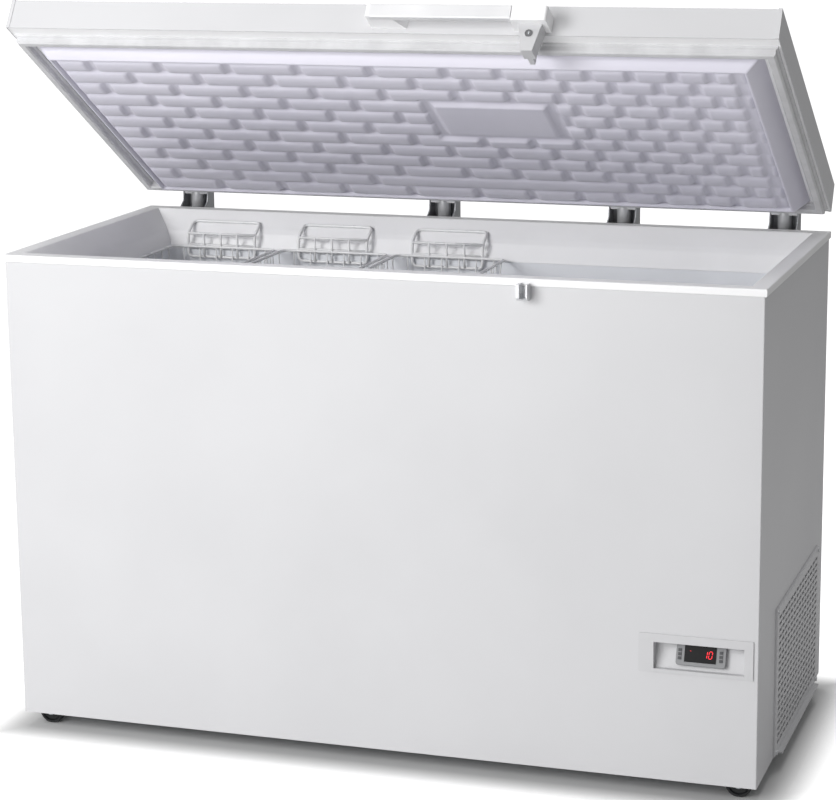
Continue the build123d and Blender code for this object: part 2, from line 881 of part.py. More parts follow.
# Controller on the pocket's leaning floor
controller_width = 79
controller_height = 34
controller_depth = 8
controller_plane = Plane(
    origin=(panel_x + 2, front + sum(pocket_depth) / 2, controller_z),
    x_dir=(1, 0, 0),
    z_dir=(0, -cos(lean), sin(lean)),
)
key_size = (5, 4.5)
key_height = 5
key_places = [(x, y) for x in (-33.5, 31.5) for y in (7, 0.6, -5.8)]
controller_face = controller_plane.offset(controller_depth)
with BuildPart() as controller_body:
    with BuildSketch(controller_plane):
        RectangleRounded(controller_width, controller_height, 5)
    extrude(amount=controller_depth)
    chamfer(controller_body.faces().sort_by(Axis.Y)[0].edges(), 1)
    with BuildSketch(controller_face):
        with Locations(*key_places):
            Rectangle(key_size[0] + 2 * key_clearance, key_size[1] + 2 * key_clearance)
    extrude(amount=-key_height, mode=Mode.SUBTRACT)
controller_body.part.label = "controller_body"
export_step(controller_body.part, "parts/controller_body.step")

# Display window on the controller's face
with BuildPart() as display_window:
    with BuildSketch(controller_face):
        with Locations((-1, 2)):
            Rectangle(50, 26)
    extrude(amount=1)
display_window.part.label = "display_window"
export_step(display_window.part, "parts/display_window.step")

# Six keys, each free to be pressed in
for number, place in enumerate(key_places, start=1):
    with BuildPart() as key:
        with BuildSketch(controller_face.offset(1.5)):
            with Locations(place):
                Rectangle(*key_size)
        extrude(amount=-(key_height + 0.5 - key_travel + key_clearance))
    key.part.label = f"key_{number}"
    export_step(key.part, f"parts/key_{number}.step")

# Keeper: a folded steel loop on the front that the lock's bolt passes into
keeper_z = rim_top - keeper_drop
keeper_low = rim_top - 33
keeper_high = rim_top - 7
keeper_reach = lid_front_overhang - keeper_clearance
bolt_y = front - keeper_reach / 2
tongue_reach = bolt_y + lock_bolt_radius + bolt_wall - lid_front
with BuildPart() as keeper:
    with BuildSketch(Plane.YZ.offset(lock_x - keeper_gap / 2 - 5)):
        with BuildLine():
            Polyline(
                (front, keeper_low),
                (front - keeper_reach + 5, keeper_low),
                (front - keeper_reach, keeper_low + 5),
                (front - keeper_reach, keeper_high),
                (front - rim_thickness, keeper_high),
                (front - rim_thickness, rim_top - rim_band),
                (front, rim_top - rim_band),
                close=True,
            )
        make_face()
    extrude(amount=keeper_gap + 7.5)
    with BuildSketch(Plane.XY.offset(keeper_low + 3)):
        with Locations((lock_x, front - keeper_reach / 2 - 1.5)):
            Rectangle(keeper_gap, keeper_reach)
    extrude(amount=40, mode=Mode.SUBTRACT)
    with BuildSketch(Plane.YZ.offset(lock_x)):
        with Locations((bolt_y, keeper_z)):
            Circle(lock_bolt_radius + 0.5)
    extrude(amount=-20, mode=Mode.SUBTRACT)
keeper.part.label = "keeper"
export_step(keeper.part, "parts/keeper.step")


# Hinge bases: a folded channel with a foot, a seat for the spring and the pin's eyes
seat_z = rim_top - hinge_foot + 10
eye_radius = ear_radius
foot_low = rim_top - hinge_foot
foot_half = hinge_width / 2 + 9
hinge_back = pivot_y + eye_radius
channel_depth = hinge_back - half_depth + eye_radius
channel_height = pivot_z - foot_low + 4 * eye_radius


def make_hinge_base(number, x):
    with BuildPart() as base:
        with BuildSketch(Plane.YZ.offset(x - hinge_width / 2)):
            with BuildLine():
                Polyline(
                    (half_depth, foot_low),
                    (half_depth, rim_top - rim_band - 1),
                    (half_depth + rim_thickness, rim_top - rim_band - 1),
                    (half_depth + rim_thickness, rim_top - 3),
                    (half_depth + 18, rim_top + 8),
                    (pivot_y - eye_radius, pivot_z),
                    (hinge_back, pivot_z),
                    (hinge_back, foot_low),
                    close=True,
                )
            make_face()
            with Locations((pivot_y, pivot_z)):
                Circle(eye_radius)
        extrude(amount=hinge_width)
        with BuildSketch(Plane.YZ.offset(x - hinge_width / 2 + hinge_sheet)):
            with Locations(
                (half_depth + hinge_sheet + channel_depth / 2, (pivot_z + foot_low) / 2)
            ):
                Rectangle(channel_depth, channel_height)
        extrude(amount=hinge_width - 2 * hinge_sheet, mode=Mode.SUBTRACT)
        with BuildSketch(Plane.XY.offset(seat_z)):
            with Locations((x, (half_depth + hinge_back) / 2)):
                Rectangle(hinge_width - hinge_sheet, hinge_back - half_depth)
        extrude(amount=hinge_sheet)
        with BuildSketch(Plane.XZ.offset(-half_depth)):
            with Locations((x, foot_low + hinge_web / 2)):
                Rectangle(2 * foot_half, hinge_web)
        extrude(amount=-hinge_sheet)
        with BuildSketch(Plane.XZ.offset(-half_depth)):
            with Locations((x, foot_low + hinge_web / 2)):
                with GridLocations(hinge_width + 9, hinge_web - 30, 2, 2):
                    Circle(screw_shank)
        extrude(amount=-hinge_sheet, mode=Mode.SUBTRACT)
        with BuildSketch(Plane.YZ.offset(x)):
            with Locations((pivot_y, pivot_z)):
                Circle(pin_radius)
        extrude(amount=hinge_width, both=True, mode=Mode.SUBTRACT)
    base.part.label = f"hinge_base_{number}"
    export_step(base.part, f"parts/hinge_base_{number}.step")


for number, x in enumerate(hinge_places, start=1):
    make_hinge_base(number, x)

# Hinge pins, held in the bases' eyes
with BuildPart() as hinge_pins:
    for x in hinge_places:
        with BuildSketch(Plane.YZ.offset(x)):
            with Locations((pivot_y, pivot_z)):
                Circle(pin_radius)
        extrude(amount=hinge_width / 2, both=True)
        for side in (-1, 1):
            with BuildSketch(Plane.YZ.offset(x + side * hinge_width / 2)):
                with Locations((pivot_y, pivot_z)):
                    Circle(1.5 * pin_radius)
            extrude(amount=side * hinge_sheet)
hinge_pins.part.label = "hinge_pins"
export_step(hinge_pins.part, "parts/hinge_pins.step")

# Plungers that carry the springs' push up to the cams
plunger_y = pivot_y - cam_lift_per_radian
cam_drop = cam_reach - cam_lift_per_radian * radians(lid_open_angle)
plunger_top = pivot_z - cam_drop - plunger_clearance
plunger_bottom = plunger_top - plunger_height
with BuildPart() as hinge_plungers:
    for height, start, size in (
        (plunger_height, plunger_bottom, (plunger_width, plunger_depth)),
        (7, plunger_bottom, (hinge_width - 2 * hinge_sheet - 1, plunger_depth)),
    ):
        with BuildSketch(Plane.XY.offset(start)):
            with Locations(*[(x, plunger_y) for x in hinge_places]):
                Rectangle(*size)
        extrude(amount=height)
    with BuildSketch(Plane.XY.offset(plunger_bottom)):
        with Locations(*[(x, plunger_y) for x in hinge_places]):
            Circle(spring_radius - spring_wire)
    extrude(amount=-20)
hinge_plungers.part.label = "hinge_plungers"
export_step(hinge_plungers.part, "parts/hinge_plungers.step")

# Springs of square wire between seat and plunger
spring_low = seat_z + hinge_sheet
spring_run = plunger_bottom - spring_low - spring_wire
with BuildPart() as hinge_springs:
    for x in hinge_places:
        with BuildPart(mode=Mode.PRIVATE) as spring:
            with BuildLine():
                Helix(pitch=spring_run / spring_turns, height=spring_run, radius=spring_radius)
            with BuildSketch(Plane((spring_radius, 0, 0), (1, 0, 0), (0, 1, 0))):
                Rectangle(spring_wire, spring_wire)
            sweep(is_frenet=True)
        with Locations((x, plunger_y, spring_low + spring_wire / 2)):
            add(spring.part)
hinge_springs.part.label = "hinge_springs"
export_step(hinge_springs.part, "parts/hinge_springs.step")

# Screws of the grille and the hinge feet
foot_screws = [
    (x + dx, foot_low + hinge_web / 2 + dz)
    for x in hinge_places
    for dx in (-hinge_width / 2 - 4.5, hinge_width / 2 + 4.5)
    for dz in (-hinge_web / 2 + 15, hinge_web / 2 - 15)
]
with BuildPart() as panel_screws:
    for plane, places, shank, out in (
        (Plane.YZ.offset(half_width + grille_sheet), grille_screws, grille_sheet, 1),
        (Plane.XZ.offset(-half_depth - hinge_sheet), foot_screws, hinge_sheet, -1),
    ):
        with BuildSketch(plane):
            with Locations(*places):
                Circle(screw_shank)
        extrude(amount=-out * shank)
        with BuildSketch(plane):
            with Locations(*places):
                Circle(screw_head)
        extrude(amount=out * screw_height)
panel_screws.part.label = "panel_screws"
export_step(panel_screws.part, "parts/panel_screws.step")

# Lid skin: front, top and back in one folded sheet
skin_half = lid_half - lid_sheet
with BuildPart() as lid_skin:
    with BuildSketch(lid_side.offset(-skin_half)):
        with Locations(((lid_front + lid_back) / 2, lid_height / 2)):
            Rectangle(lid_depth, lid_height)
        with Locations(((lid_front + lid_back) / 2, (lid_height - lid_sheet) / 2)):
            Rectangle(lid_depth - 2 * lid_sheet, lid_height - lid_sheet, mode=Mode.SUBTRACT)
    extrude(amount=2 * skin_half)
lid_skin.part.label = "lid_skin"
export_step(lid_skin.part, "parts/lid_skin.step")


# Lid end panels, wrapped over the skin's ends
def make_end_panel(name, inner, outer):
    with BuildPart() as panel:
        with BuildSketch(lid_side.offset(inner)):
            with Locations(((lid_front + lid_back) / 2, (lid_height + lid_sheet) / 2)):
                Rectangle(lid_depth + 2 * lid_sheet, lid_height + lid_sheet)
        extrude(amount=outer - inner)
        with BuildSketch(lid_side.offset(inner)):
            with Locations(((lid_front + lid_back) / 2, lid_height / 2)):
                Rectangle(lid_depth, lid_height)
        extrude(amount=(outer - inner) * (1 - lid_sheet / end_wrap), mode=Mode.SUBTRACT)
    panel.part.label = name
    export_step(panel.part, "parts/" + name + ".step")


make_end_panel("lid_end_panel_left", -lid_half + end_wrap, -lid_half)
make_end_panel("lid_end_panel_right", lid_half - end_wrap, lid_half)

# Lid frame: the flat band that carries the gasket and the plug
plug_top_x = lid_half - plug_side[0]
plug_top_y = half_depth - plug_front[0]
plug_low_x = lid_half - plug_side[1]
plug_low_y = half_depth - plug_front[1]
frame_top = lid_sheet + frame_thickness
with BuildPart() as lid_frame:
    with BuildSketch(lid_plane.offset(lid_sheet)):
        with Locations((0, (lid_front + lid_back) / 2)):
            Rectangle(2 * skin_half, lid_depth - 2 * lid_sheet)
        Rectangle(2 * plug_top_x, 2 * plug_top_y, mode=Mode.SUBTRACT)
    extrude(amount=frame_thickness)
lid_frame.part.label = "lid_frame"
export_step(lid_frame.part, "parts/lid_frame.step")

# Gasket: a hollow-looking profile in one mitred loop
gasket_drop = lid_gap - gasket_clearance
with BuildPart() as lid_gasket:
    add(
        ring(
            lid_plane,
            lid_half - 5,
            half_depth + 1.5,
            [
                (0, lid_sheet),
                (0, -2),
                (3, -4),
                (3, -gasket_drop + gasket_edge),
                (3 + gasket_edge, -gasket_drop),
                (gasket_width - 3 - gasket_edge, -gasket_drop),
                (gasket_width - 3, -gasket_drop + gasket_edge),
                (gasket_width - 3, -4),
                (gasket_width, -2),
                (gasket_width, lid_sheet),
            ],
        )
    )
lid_gasket.part.label = "lid_gasket"
export_step(lid_gasket.part, "parts/lid_gasket.step")


# Lid liner: the plug that sinks into the throat when the lid shuts
def plug(narrower, lift):
    """The plug's block: narrower all round, its underside lifted."""
    with BuildPart() as block:
        for height, x, y in (
            (-plug_depth + lift, plug_low_x - narrower / 2, plug_low_y - narrower / 2),
            (lid_sheet + lift, plug_top_x - narrower, plug_top_y - narrower),
        ):
            with BuildSketch(lid_plane.offset(height)):
                Rectangle(2 * x, 2 * y)
        loft()
        if frame_top > lid_sheet + lift:
            with BuildSketch(lid_plane.offset(lid_sheet + lift)):
                Rectangle(2 * (plug_top_x - narrower), 2 * (plug_top_y - narrower))
            extrude(amount=frame_top - lid_sheet - lift)
    return block.part


with BuildPart() as lid_liner:
    add(plug(0, 0))
    add(plug(plug_wall, plug_wall), mode=Mode.SUBTRACT)
lid_liner.part.label = "lid_liner"
export_step(lid_liner.part, "parts/lid_liner.step")

# Foam filling the lid and the plug
with BuildPart() as lid_insulation:
    with BuildSketch(lid_plane.offset(frame_top)):
        with Locations((0, (lid_front + lid_back) / 2)):
            Rectangle(2 * skin_half, lid_depth - 2 * lid_sheet)
    extrude(amount=lid_height - lid_sheet - frame_top)
    add(plug(plug_wall, plug_wall))
lid_insulation.part.label = "lid_insulation"
export_step(lid_insulation.part, "parts/lid_insulation.step")

# Handle: aluminium bar between a plastic bracket and a plastic block
handle_front = lid_front - handle_reach
bar_back = handle_front + bar_depth
with BuildPart() as handle_bar:
    with BuildSketch(lid_side.offset(bar_left)):
        with BuildLine():
            Polyline(
                (handle_front, bar_bottom + 2),
                (handle_front + 2, bar_bottom),
                (bar_back, bar_bottom),
                (bar_back, bar_bottom + bar_height),
                (handle_front + 2, bar_bottom + bar_height),
                (handle_front, bar_bottom + bar_height - 2),
                close=True,
            )
        make_face()
    extrude(amount=bar_length)
handle_bar.part.label = "handle_bar"
export_step(handle_bar.part, "parts/handle_bar.step")

with BuildPart() as handle_bracket:
    with BuildSketch(lid_plane.offset(bar_bottom)):
        with BuildLine():
            Polyline(
                (bar_left - 5, lid_front),
                (bar_left + 52, lid_front),
                (bar_left + 38, bar_back),
                (bar_left, bar_back),
                (bar_left, handle_front),
                (bar_left - 5, handle_front),
                close=True,
            )
        make_face()
    extrude(amount=bar_height)
handle_bracket.part.label = "handle_bracket"
export_step(handle_bracket.part, "parts/handle_bracket.step")

bar_right = bar_left + bar_length
with BuildPart() as handle_block:
    with BuildSketch(lid_plane.offset(lock_top)):
        with Locations((bar_right + block_width / 2, lid_front - handle_reach / 2)):
            Rectangle(block_width, handle_reach)
        fillet([v for v in vertices() if v.Y < handle_front + 1], 4)
    extrude(amount=bar_height + bar_bottom - lock_top - 1)
handle_block.part.label = "handle_block"
export_step(handle_block.part, "parts/handle_block.step")

# Lock housing under the block: a tapered nose with a tongue behind it
tongue_top = -6
lock_face = lid_face(lid_front)
with BuildPart() as lock_housing:
    with BuildSketch(lock_face):
        with BuildLine():
            Polyline(
                (lock_x - 18.5, lock_top),
                (lock_x - 9, -lock_drop),
                (lock_x + 9, -lock_drop),
                (lock_x + 18.5, lock_top),
                close=True,
            )
        make_face()
    extrude(amount=lock_depth)
    with BuildSketch(lock_face):
        with Locations((lock_x, (tongue_top - lock_drop) / 2)):
            Rectangle(tongue_width, lock_drop + tongue_top)
    extrude(amount=-tongue_reach)
    with BuildSketch(lid_face(lid_front - lock_depth)):
        with Locations((lock_x, -lock_cylinder_drop)):
            Circle(lock_cylinder_radius + pin_clearance)
    extrude(amount=-lock_depth + 4, mode=Mode.SUBTRACT)
    with BuildSketch(lid_side.offset(lock_x)):
        with Locations((bolt_y, keeper_z - skirt_z)):
            Circle(lock_bolt_radius + pin_clearance)
    extrude(amount=tongue_width, both=True, mode=Mode.SUBTRACT)
lock_housing.part.label = "lock_housing"
export_step(lock_housing.part, "parts/lock_housing.step")

with BuildPart() as lock_cylinder:
    with BuildSketch(lid_face(lid_front - lock_depth - 1)):
        with Locations((lock_x, -lock_cylinder_drop)):
            Circle(lock_cylinder_radius)
    extrude(amount=-lock_depth + 4)
    with BuildSketch(lid_face(lid_front - lock_depth - 1)):
        with Locations((lock_x, -lock_cylinder_drop)):
            Rectangle(1.5, 6)
    extrude(amount=-5, mode=Mode.SUBTRACT)
lock_cylinder.part.label = "lock_cylinder"
export_step(lock_cylinder.part, "parts/lock_cylinder.step")

with BuildPart() as lock_bolt:
    with BuildSketch(lid_side.offset(lock_x - tongue_width / 2 + 0.1)):
        with Locations((bolt_y, keeper_z - skirt_z)):
            Circle(lock_bolt_radius)
    extrude(amount=tongue_width + 0.6)
lock_bolt.part.label = "lock_bolt"
export_step(lock_bolt.part, "parts/lock_bolt.step")

# Hinge leaves: a plate on the lid's back, two ears on the pin and the lifting cam
leaf_half = hinge_width / 2 - hinge_sheet - leaf_clearance
cam_outline = []
for step in range(14):
    turn = radians(lid_travel) * step / 13
    reach = cam_reach - cam_lift_per_radian * turn
    cam_outline.append(
        (
            pivot_y + reach * sin(turn) - cam_lift_per_radian * cos(turn),
            pivot_v - reach * cos(turn) - cam_lift_per_radian * sin(turn),
        )
    )
ear_outline = [
    (lid_back, 8),
    (lid_back, lid_height - 6),
    (pivot_y, pivot_v + ear_radius - 1),
    (pivot_y, pivot_v - ear_radius + 1),
]
with BuildPart() as hinge_leaves:
    for x in hinge_places:
        with BuildSketch(lid_side.offset(x - leaf_half)):
            with BuildLine():
                Polyline(*ear_outline, close=True)
            make_face()
            with Locations((pivot_y, pivot_v)):
                Circle(ear_radius - 1)
        extrude(amount=2 * leaf_half)
        with BuildSketch(lid_side.offset(x - leaf_half + hinge_sheet)):
            with Locations((lid_back + 50, lid_height / 2)):
                Rectangle(100, 2 * lid_height)
        extrude(amount=2 * leaf_half - 2 * hinge_sheet, mode=Mode.SUBTRACT)
        with BuildSketch(lid_side.offset(x - leaf_half)):
            with Locations((lid_back + hinge_sheet / 2, lid_height / 2 - 1)):
                Rectangle(hinge_sheet, lid_height - 10)
        extrude(amount=2 * leaf_half)
        with BuildSketch(lid_side.offset(x - cam_width / 2)):
            with BuildLine():
                Polyline(
                    (lid_back, pivot_v - 2),
                    (lid_back, pivot_v - 18),
                    *cam_outline,
                    (pivot_y + ear_radius - 1, pivot_v),
                    (pivot_y, pivot_v + ear_radius - 1),
                    close=True,
                )
            make_face()
        extrude(amount=cam_width)
    with BuildSketch(lid_side.offset(-lid_half)):
        with Locations((pivot_y, pivot_v)):
            Circle(pin_radius + pin_clearance)
    extrude(amount=lid_width, mode=Mode.SUBTRACT)
hinge_leaves.part.label = "hinge_leaves"
export_step(hinge_leaves.part, "parts/hinge_leaves.step")


# Baskets: a tapered lattice under a rim wire, hung by a frame at each end
def make_basket(name, x):
    rim_z = rim_top - basket_drop
    floor_z = rim_z - basket_height
    end = basket_length / 2
    hook_drop = basket_drop - 41
    hook = half_depth - rim_flat - hook_drop * throat_slope[0] / throat_slope[1] - 0.5
    with BuildPart() as basket:
        for spread in (0, mesh_wire):
            for height, shrink in ((floor_z + spread, 14), (rim_z, 1)):
                with BuildSketch(Plane.XY.offset(height)):
                    with Locations((x, 0)):
                        Rectangle(
                            basket_width - 2 * (shrink + spread),
                            basket_length - 2 * (shrink + spread),
                        )
            loft(mode=Mode.SUBTRACT if spread else Mode.ADD)
        with BuildSketch(Plane.YZ.offset(x - basket_width)):
            with Locations((0, (floor_z + rim_z) / 2)):
                with GridLocations(56, 48, 7, 4):
                    Rectangle(53, 45)
        extrude(amount=2 * basket_width, mode=Mode.SUBTRACT)
        with BuildSketch(Plane.XZ.offset(-basket_length)):
            with Locations((x, (floor_z + rim_z) / 2)):
                with GridLocations(56, 48, 3, 4):
                    Rectangle(53, 45)
        extrude(amount=2 * basket_length, mode=Mode.SUBTRACT)
        with BuildSketch(Plane.XY.offset(floor_z - 1)):
            with Locations((x, 0)):
                with GridLocations(56, 56, 3, 7):
                    Rectangle(53, 53)
        extrude(amount=2 + mesh_wire, mode=Mode.SUBTRACT)
        with BuildSketch(Plane.XY.offset(rim_z - rim_wire / 2)):
            with Locations((x, 0)):
                Rectangle(basket_width, basket_length)
                Rectangle(
                    basket_width - 2 * rim_wire,
                    basket_length - 2 * rim_wire,
                    mode=Mode.SUBTRACT,
                )
        extrude(amount=rim_wire)
        for side in (-1, 1):
            with BuildSketch(Plane.XZ.offset(-side * (end - 1))):
                with Locations((x - 7, rim_z + 3)):
                    Rectangle(hanger_width, 44)
                    with GridLocations(0, 20, 1, 2):
                        Rectangle(hanger_width - 2 * rim_wire, 15, mode=Mode.SUBTRACT)
                with Locations((x - 7, rim_z + 3)):
                    with GridLocations(hanger_width / 4, 0, 3, 1):
                        Rectangle(3, 44)
            extrude(amount=-side * 3)
            with BuildSketch(Plane.YZ.offset(x - 7 - hanger_width / 2)):
                with BuildLine():
                    Polyline(
                        (side * (end - 1), rim_z + 20),
                        (side * hook, rim_z + 41),
                        (side * hook, rim_z + 45),
                        (side * (end + 2), rim_z + 25),
                        (side * (end - 1), rim_z + 25),
                        close=True,
                    )
                make_face()
            extrude(amount=hanger_width)
            with BuildSketch(Plane.XY.offset(rim_z + 15)):
                with Locations((x - 7, side * (hook - 15))):
                    Rectangle(hanger_width - 2 * rim_wire, 24)
            extrude(amount=40, mode=Mode.SUBTRACT)
    basket.part.label = name
    export_step(basket.part, "parts/" + name + ".step")


make_basket("basket_left", basket_first)
make_basket("basket_middle", basket_first + basket_pitch)
make_basket("basket_right", basket_first + 2 * basket_pitch)
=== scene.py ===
# %% [markdown]
# # A low temperature chest freezer, dressed for the camera
# The imported CAD model is the fixed frame of this scene: every piece sits where the CAD
# says. We load it first.

import json
from math import radians

import bpy
import numpy as np
from mathutils import Matrix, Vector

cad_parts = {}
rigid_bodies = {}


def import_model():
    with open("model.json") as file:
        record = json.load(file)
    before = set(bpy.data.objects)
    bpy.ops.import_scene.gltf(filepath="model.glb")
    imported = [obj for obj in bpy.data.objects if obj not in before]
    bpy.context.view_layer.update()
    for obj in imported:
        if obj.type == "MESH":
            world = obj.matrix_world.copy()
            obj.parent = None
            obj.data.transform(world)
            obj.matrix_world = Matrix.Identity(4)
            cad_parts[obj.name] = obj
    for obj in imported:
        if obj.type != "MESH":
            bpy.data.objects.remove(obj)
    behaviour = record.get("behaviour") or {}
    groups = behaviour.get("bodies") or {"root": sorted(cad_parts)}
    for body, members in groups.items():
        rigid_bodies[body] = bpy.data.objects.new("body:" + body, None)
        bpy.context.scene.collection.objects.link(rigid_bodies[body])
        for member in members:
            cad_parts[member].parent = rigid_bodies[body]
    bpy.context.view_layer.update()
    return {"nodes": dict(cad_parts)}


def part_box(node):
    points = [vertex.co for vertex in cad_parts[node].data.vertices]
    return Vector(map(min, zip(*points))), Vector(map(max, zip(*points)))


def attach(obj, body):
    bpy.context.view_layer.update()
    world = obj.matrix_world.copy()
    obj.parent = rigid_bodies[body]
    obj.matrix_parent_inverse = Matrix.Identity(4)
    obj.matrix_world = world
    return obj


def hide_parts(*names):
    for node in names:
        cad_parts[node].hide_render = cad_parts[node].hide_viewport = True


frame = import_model()
nodes = frame["nodes"]

# %% [markdown]
# ## The camera
# The photograph was taken from the right of the freezer's middle, well above the rim,
# through a long lens. The camera's place, turns and focal length come from fitting
# thirteen corners of the cabinet and lid. A camera looks along its own -Z, so a quarter
# turn about X first aims it along Y, and its roll, pitch and yaw follow. The small
# shift keeps the photograph's framing.

# %% Camera at the photograph's viewing angle
image_width, image_height = 836, 800
focal_px, centre_u, centre_v = 2502.4, 427.2, 371.6
camera_place = (1.2976, -3.9327, 1.4713)
yaw, pitch, roll, quarter_turn = radians(18.23), radians(-11.93), radians(0.556), radians(90)

lens = bpy.data.cameras.new("studio_lens")
lens.sensor_fit = "HORIZONTAL"
lens.sensor_width = 36
lens.lens = focal_px * lens.sensor_width / image_width
lens.shift_x = (image_width / 2 - centre_u) / image_width
lens.shift_y = (centre_v - image_height / 2) / image_width
lens.clip_end = 100
camera = bpy.data.objects.new("studio_camera", lens)
camera.matrix_world = (
    Matrix.Translation(camera_place)
    @ Matrix.Rotation(yaw, 4, "Z")
    @ Matrix.Rotation(pitch, 4, "X")
    @ Matrix.Rotation(roll, 4, "Y")
    @ Matrix.Rotation(quarter_turn, 4, "X")
)
bpy.context.scene.collection.objects.link(camera)
bpy.context.scene.camera = camera
print("lens in mm:", round(lens.lens, 1))

# %% [markdown]
# ## Colours and nodes
# Colours are written as sRGB hex, as a paint maker gives them, and one function turns
# them to the linear values that shaders want. One more function adds any node, with
# its settings and its inputs, where an input is either a number or another node's
# output.


# %% One function for colours, one for nodes
def paint(code, alpha=1.0):
    """Turns an sRGB hex colour to linear light.

    A channel is a share of 255. One up to 0.04045 is divided by 12.92. A brighter one
    has 0.055 added, is divided by 1.055, and is raised to the power 2.4.
    """
    channel = np.array([int(code[i : i + 2], 16) for i in (1, 3, 5)]) / 255
    bright = ((channel + 0.055) / 1.055) ** 2.4
    linear = np.where(channel <= 0.04045, channel / 12.92, bright)
    return (*linear.tolist(), alpha)


def add(tree, kind, settings=None, inputs=None):
    """Adds a node; an input that is a socket is linked, anything else is its value."""
    made = tree.nodes.new(kind)
    for name, value in (settings or {}).items():
        setattr(made, name, value)
    for name, value in (inputs or {}).items():
        if isinstance(value, bpy.types.NodeSocket):
            tree.links.new(value, made.inputs[name])
        else:
            made.inputs[name].default_value = value
    return made


print("middle grey in linear light:", np.round(paint("#808080"), 3).tolist())

# %% [markdown]
# ## One recipe for plain surfaces
# Paint, plastic and metal all differ from a flat colour in the same two ways: a fine
# grain that breaks up the shine, and a wide, faint drift of colour and gloss. Two noise
# textures give both, each with its features as wide as the real ones in millimetres.
# They read Object coordinates, so a pattern keeps its real size on every piece.


# %% A finish from two noises
def finish_of(name, colour, roughness, metallic=0.0, grain_mm=2.0, depth_mm=0.02,
              tint=None, stretch=(1, 1, 1), patch_mm=120.0, gloss_change=0.06):
    """A painted, moulded or drawn surface.

    Noise with features of grain_mm bumps the surface by depth_mm, noise with features
    of patch_mm drifts the colour towards tint and changes the gloss a little. A stretch
    below one draws the grain out along its axis, as brushing does.
    """
    material = bpy.data.materials.new(name)
    material.use_nodes = True
    tree = material.node_tree
    shader = tree.nodes["Principled BSDF"]
    shader.inputs["Metallic"].default_value = metallic
    place = add(tree, "ShaderNodeTexCoord")
    drawn = add(tree, "ShaderNodeMapping", inputs={
        "Vector": place.outputs["Object"], "Scale": stretch})
    grain = add(tree, "ShaderNodeTexNoise", inputs={
        "Vector": drawn.outputs["Vector"], "Scale": 1000 / grain_mm, "Detail": 2.0})
    patch = add(tree, "ShaderNodeTexNoise", inputs={
        "Vector": place.outputs["Object"], "Scale": 1000 / patch_mm, "Detail": 3.0})
    tone = add(tree, "ShaderNodeValToRGB", inputs={"Fac": patch.outputs["Fac"]})
    for stop, (position, code) in zip(
            tone.color_ramp.elements, ((0.35, tint or colour), (0.65, colour))):
        stop.position = position
        stop.color = paint(code)
    gloss = add(tree, "ShaderNodeMapRange", inputs={
        "Value": patch.outputs["Fac"], "From Min": 0.3, "From Max": 0.7,
        "To Min": roughness - gloss_change, "To Max": roughness + gloss_change})
    bump = add(tree, "ShaderNodeBump", inputs={
        "Height": grain.outputs["Fac"], "Distance": depth_mm / 1000, "Strength": 1.0})
    tree.links.new(tone.outputs["Color"], shader.inputs["Base Color"])
    tree.links.new(gloss.outputs["Result"], shader.inputs["Roughness"])
    tree.links.new(bump.outputs["Normal"], shader.inputs["Normal"])
    return material


print("materials before the first finish:", len(bpy.data.materials))


# %% Dressing the CAD nodes
def dress(material, *names):
    """Gives CAD nodes their finish, in every material slot they have."""
    for name in names:
        node = nodes[name]
        if not node.material_slots:
            node.data.materials.append(material)
        for held in node.material_slots:
            held.material = material
    print(material.name, "on", ", ".join(names))


print("CAD nodes to dress:", len(nodes))

# %% [markdown]
# ## White steel: powder coat
# The cabinet and lid are thin sheet steel under baked powder paint. Powder flows out
# to a satin skin with a faint orange peel, a few millimetres across and hundredths
# deep. A noise bump gives the peel, and a second, wide noise lets the white drift by a
# hair, because large sheets are never quite even.

# %% Powder-coated steel, white
# Baked powder: an even satin white with a faint peel.
powder_white = finish_of("powder_coated_steel_white", "#CFCFD1", 0.36, grain_mm=3.0,
                         depth_mm=0.012, tint="#CCCCCE", patch_mm=300)
dress(powder_white, "outer_shell", "back_panel", "lid_skin", "lid_end_panel_left",
      "lid_end_panel_right")

# %% [markdown]
# ## White plastic mouldings
# The rim, the lid's frame and the ends of the handle are extruded or injection moulded
# plastic, whiter than the paint. The grille, the bezel and the lock's housing are the same
# plastic, a satin painted a shade darker: painted shade for the bezel in its recess, and
# the grille and lock housing share that tone. Both have a finer and duller skin. A pixel
# of this view covers about 1.7 mm, so grain finer than that only softens the shine.

# %% Moulded ABS, white
# Moulded plastic: white, with a soft sheen.
abs_white = finish_of("moulded_abs_white", "#F2F2F3", 0.42, grain_mm=0.9, depth_mm=0.01,
                      tint="#EEEEEF")
# The same white plastic, a little shinier, painted darker as painted shade.
abs_white_shaded = finish_of("moulded_abs_white_painted_shade", "#CDCDCF", 0.38, grain_mm=0.8,
                      depth_mm=0.01, tint="#C8C8CA")
dress(abs_white, "rim_frame", "lid_frame", "handle_bracket", "handle_block")
# The lock housing, bezel and grille take the darker copy, which carries painted shade.
dress(abs_white_shaded, "lock_housing", "controller_bezel", "grille")

# %% [markdown]
# ## Liner, foam and gasket
# The liner is coated steel with a cool cast, the lid's plug is vacuum-formed sheet with
# a lavender tint, and the foam behind them is the straw colour of polyurethane. The
# gasket is soft pale vinyl, whose grain is drawn out about threefold in height.

# %% Coated liner steel, formed styrene, foam and vinyl
# Baked coat on steel: an even satin with a cool cast.
liner_coat = finish_of("coated_liner_steel", "#ECEEF2", 0.34, grain_mm=2.5,
                       depth_mm=0.01, tint="#E8EAEE")
# Formed sheet: waxy and half matt, with a lavender tint.
formed_styrene = finish_of("vacuum_formed_styrene", "#DAD8E3", 0.45, grain_mm=1.2,
                           depth_mm=0.02, tint="#D5D3DF", patch_mm=200)
# Foam: matt, pitted and straw coloured.
foam = finish_of("rigid_polyurethane_foam", "#D9CC9B", 0.85, grain_mm=1.0,
                 depth_mm=0.2, tint="#CDBE88", patch_mm=40)
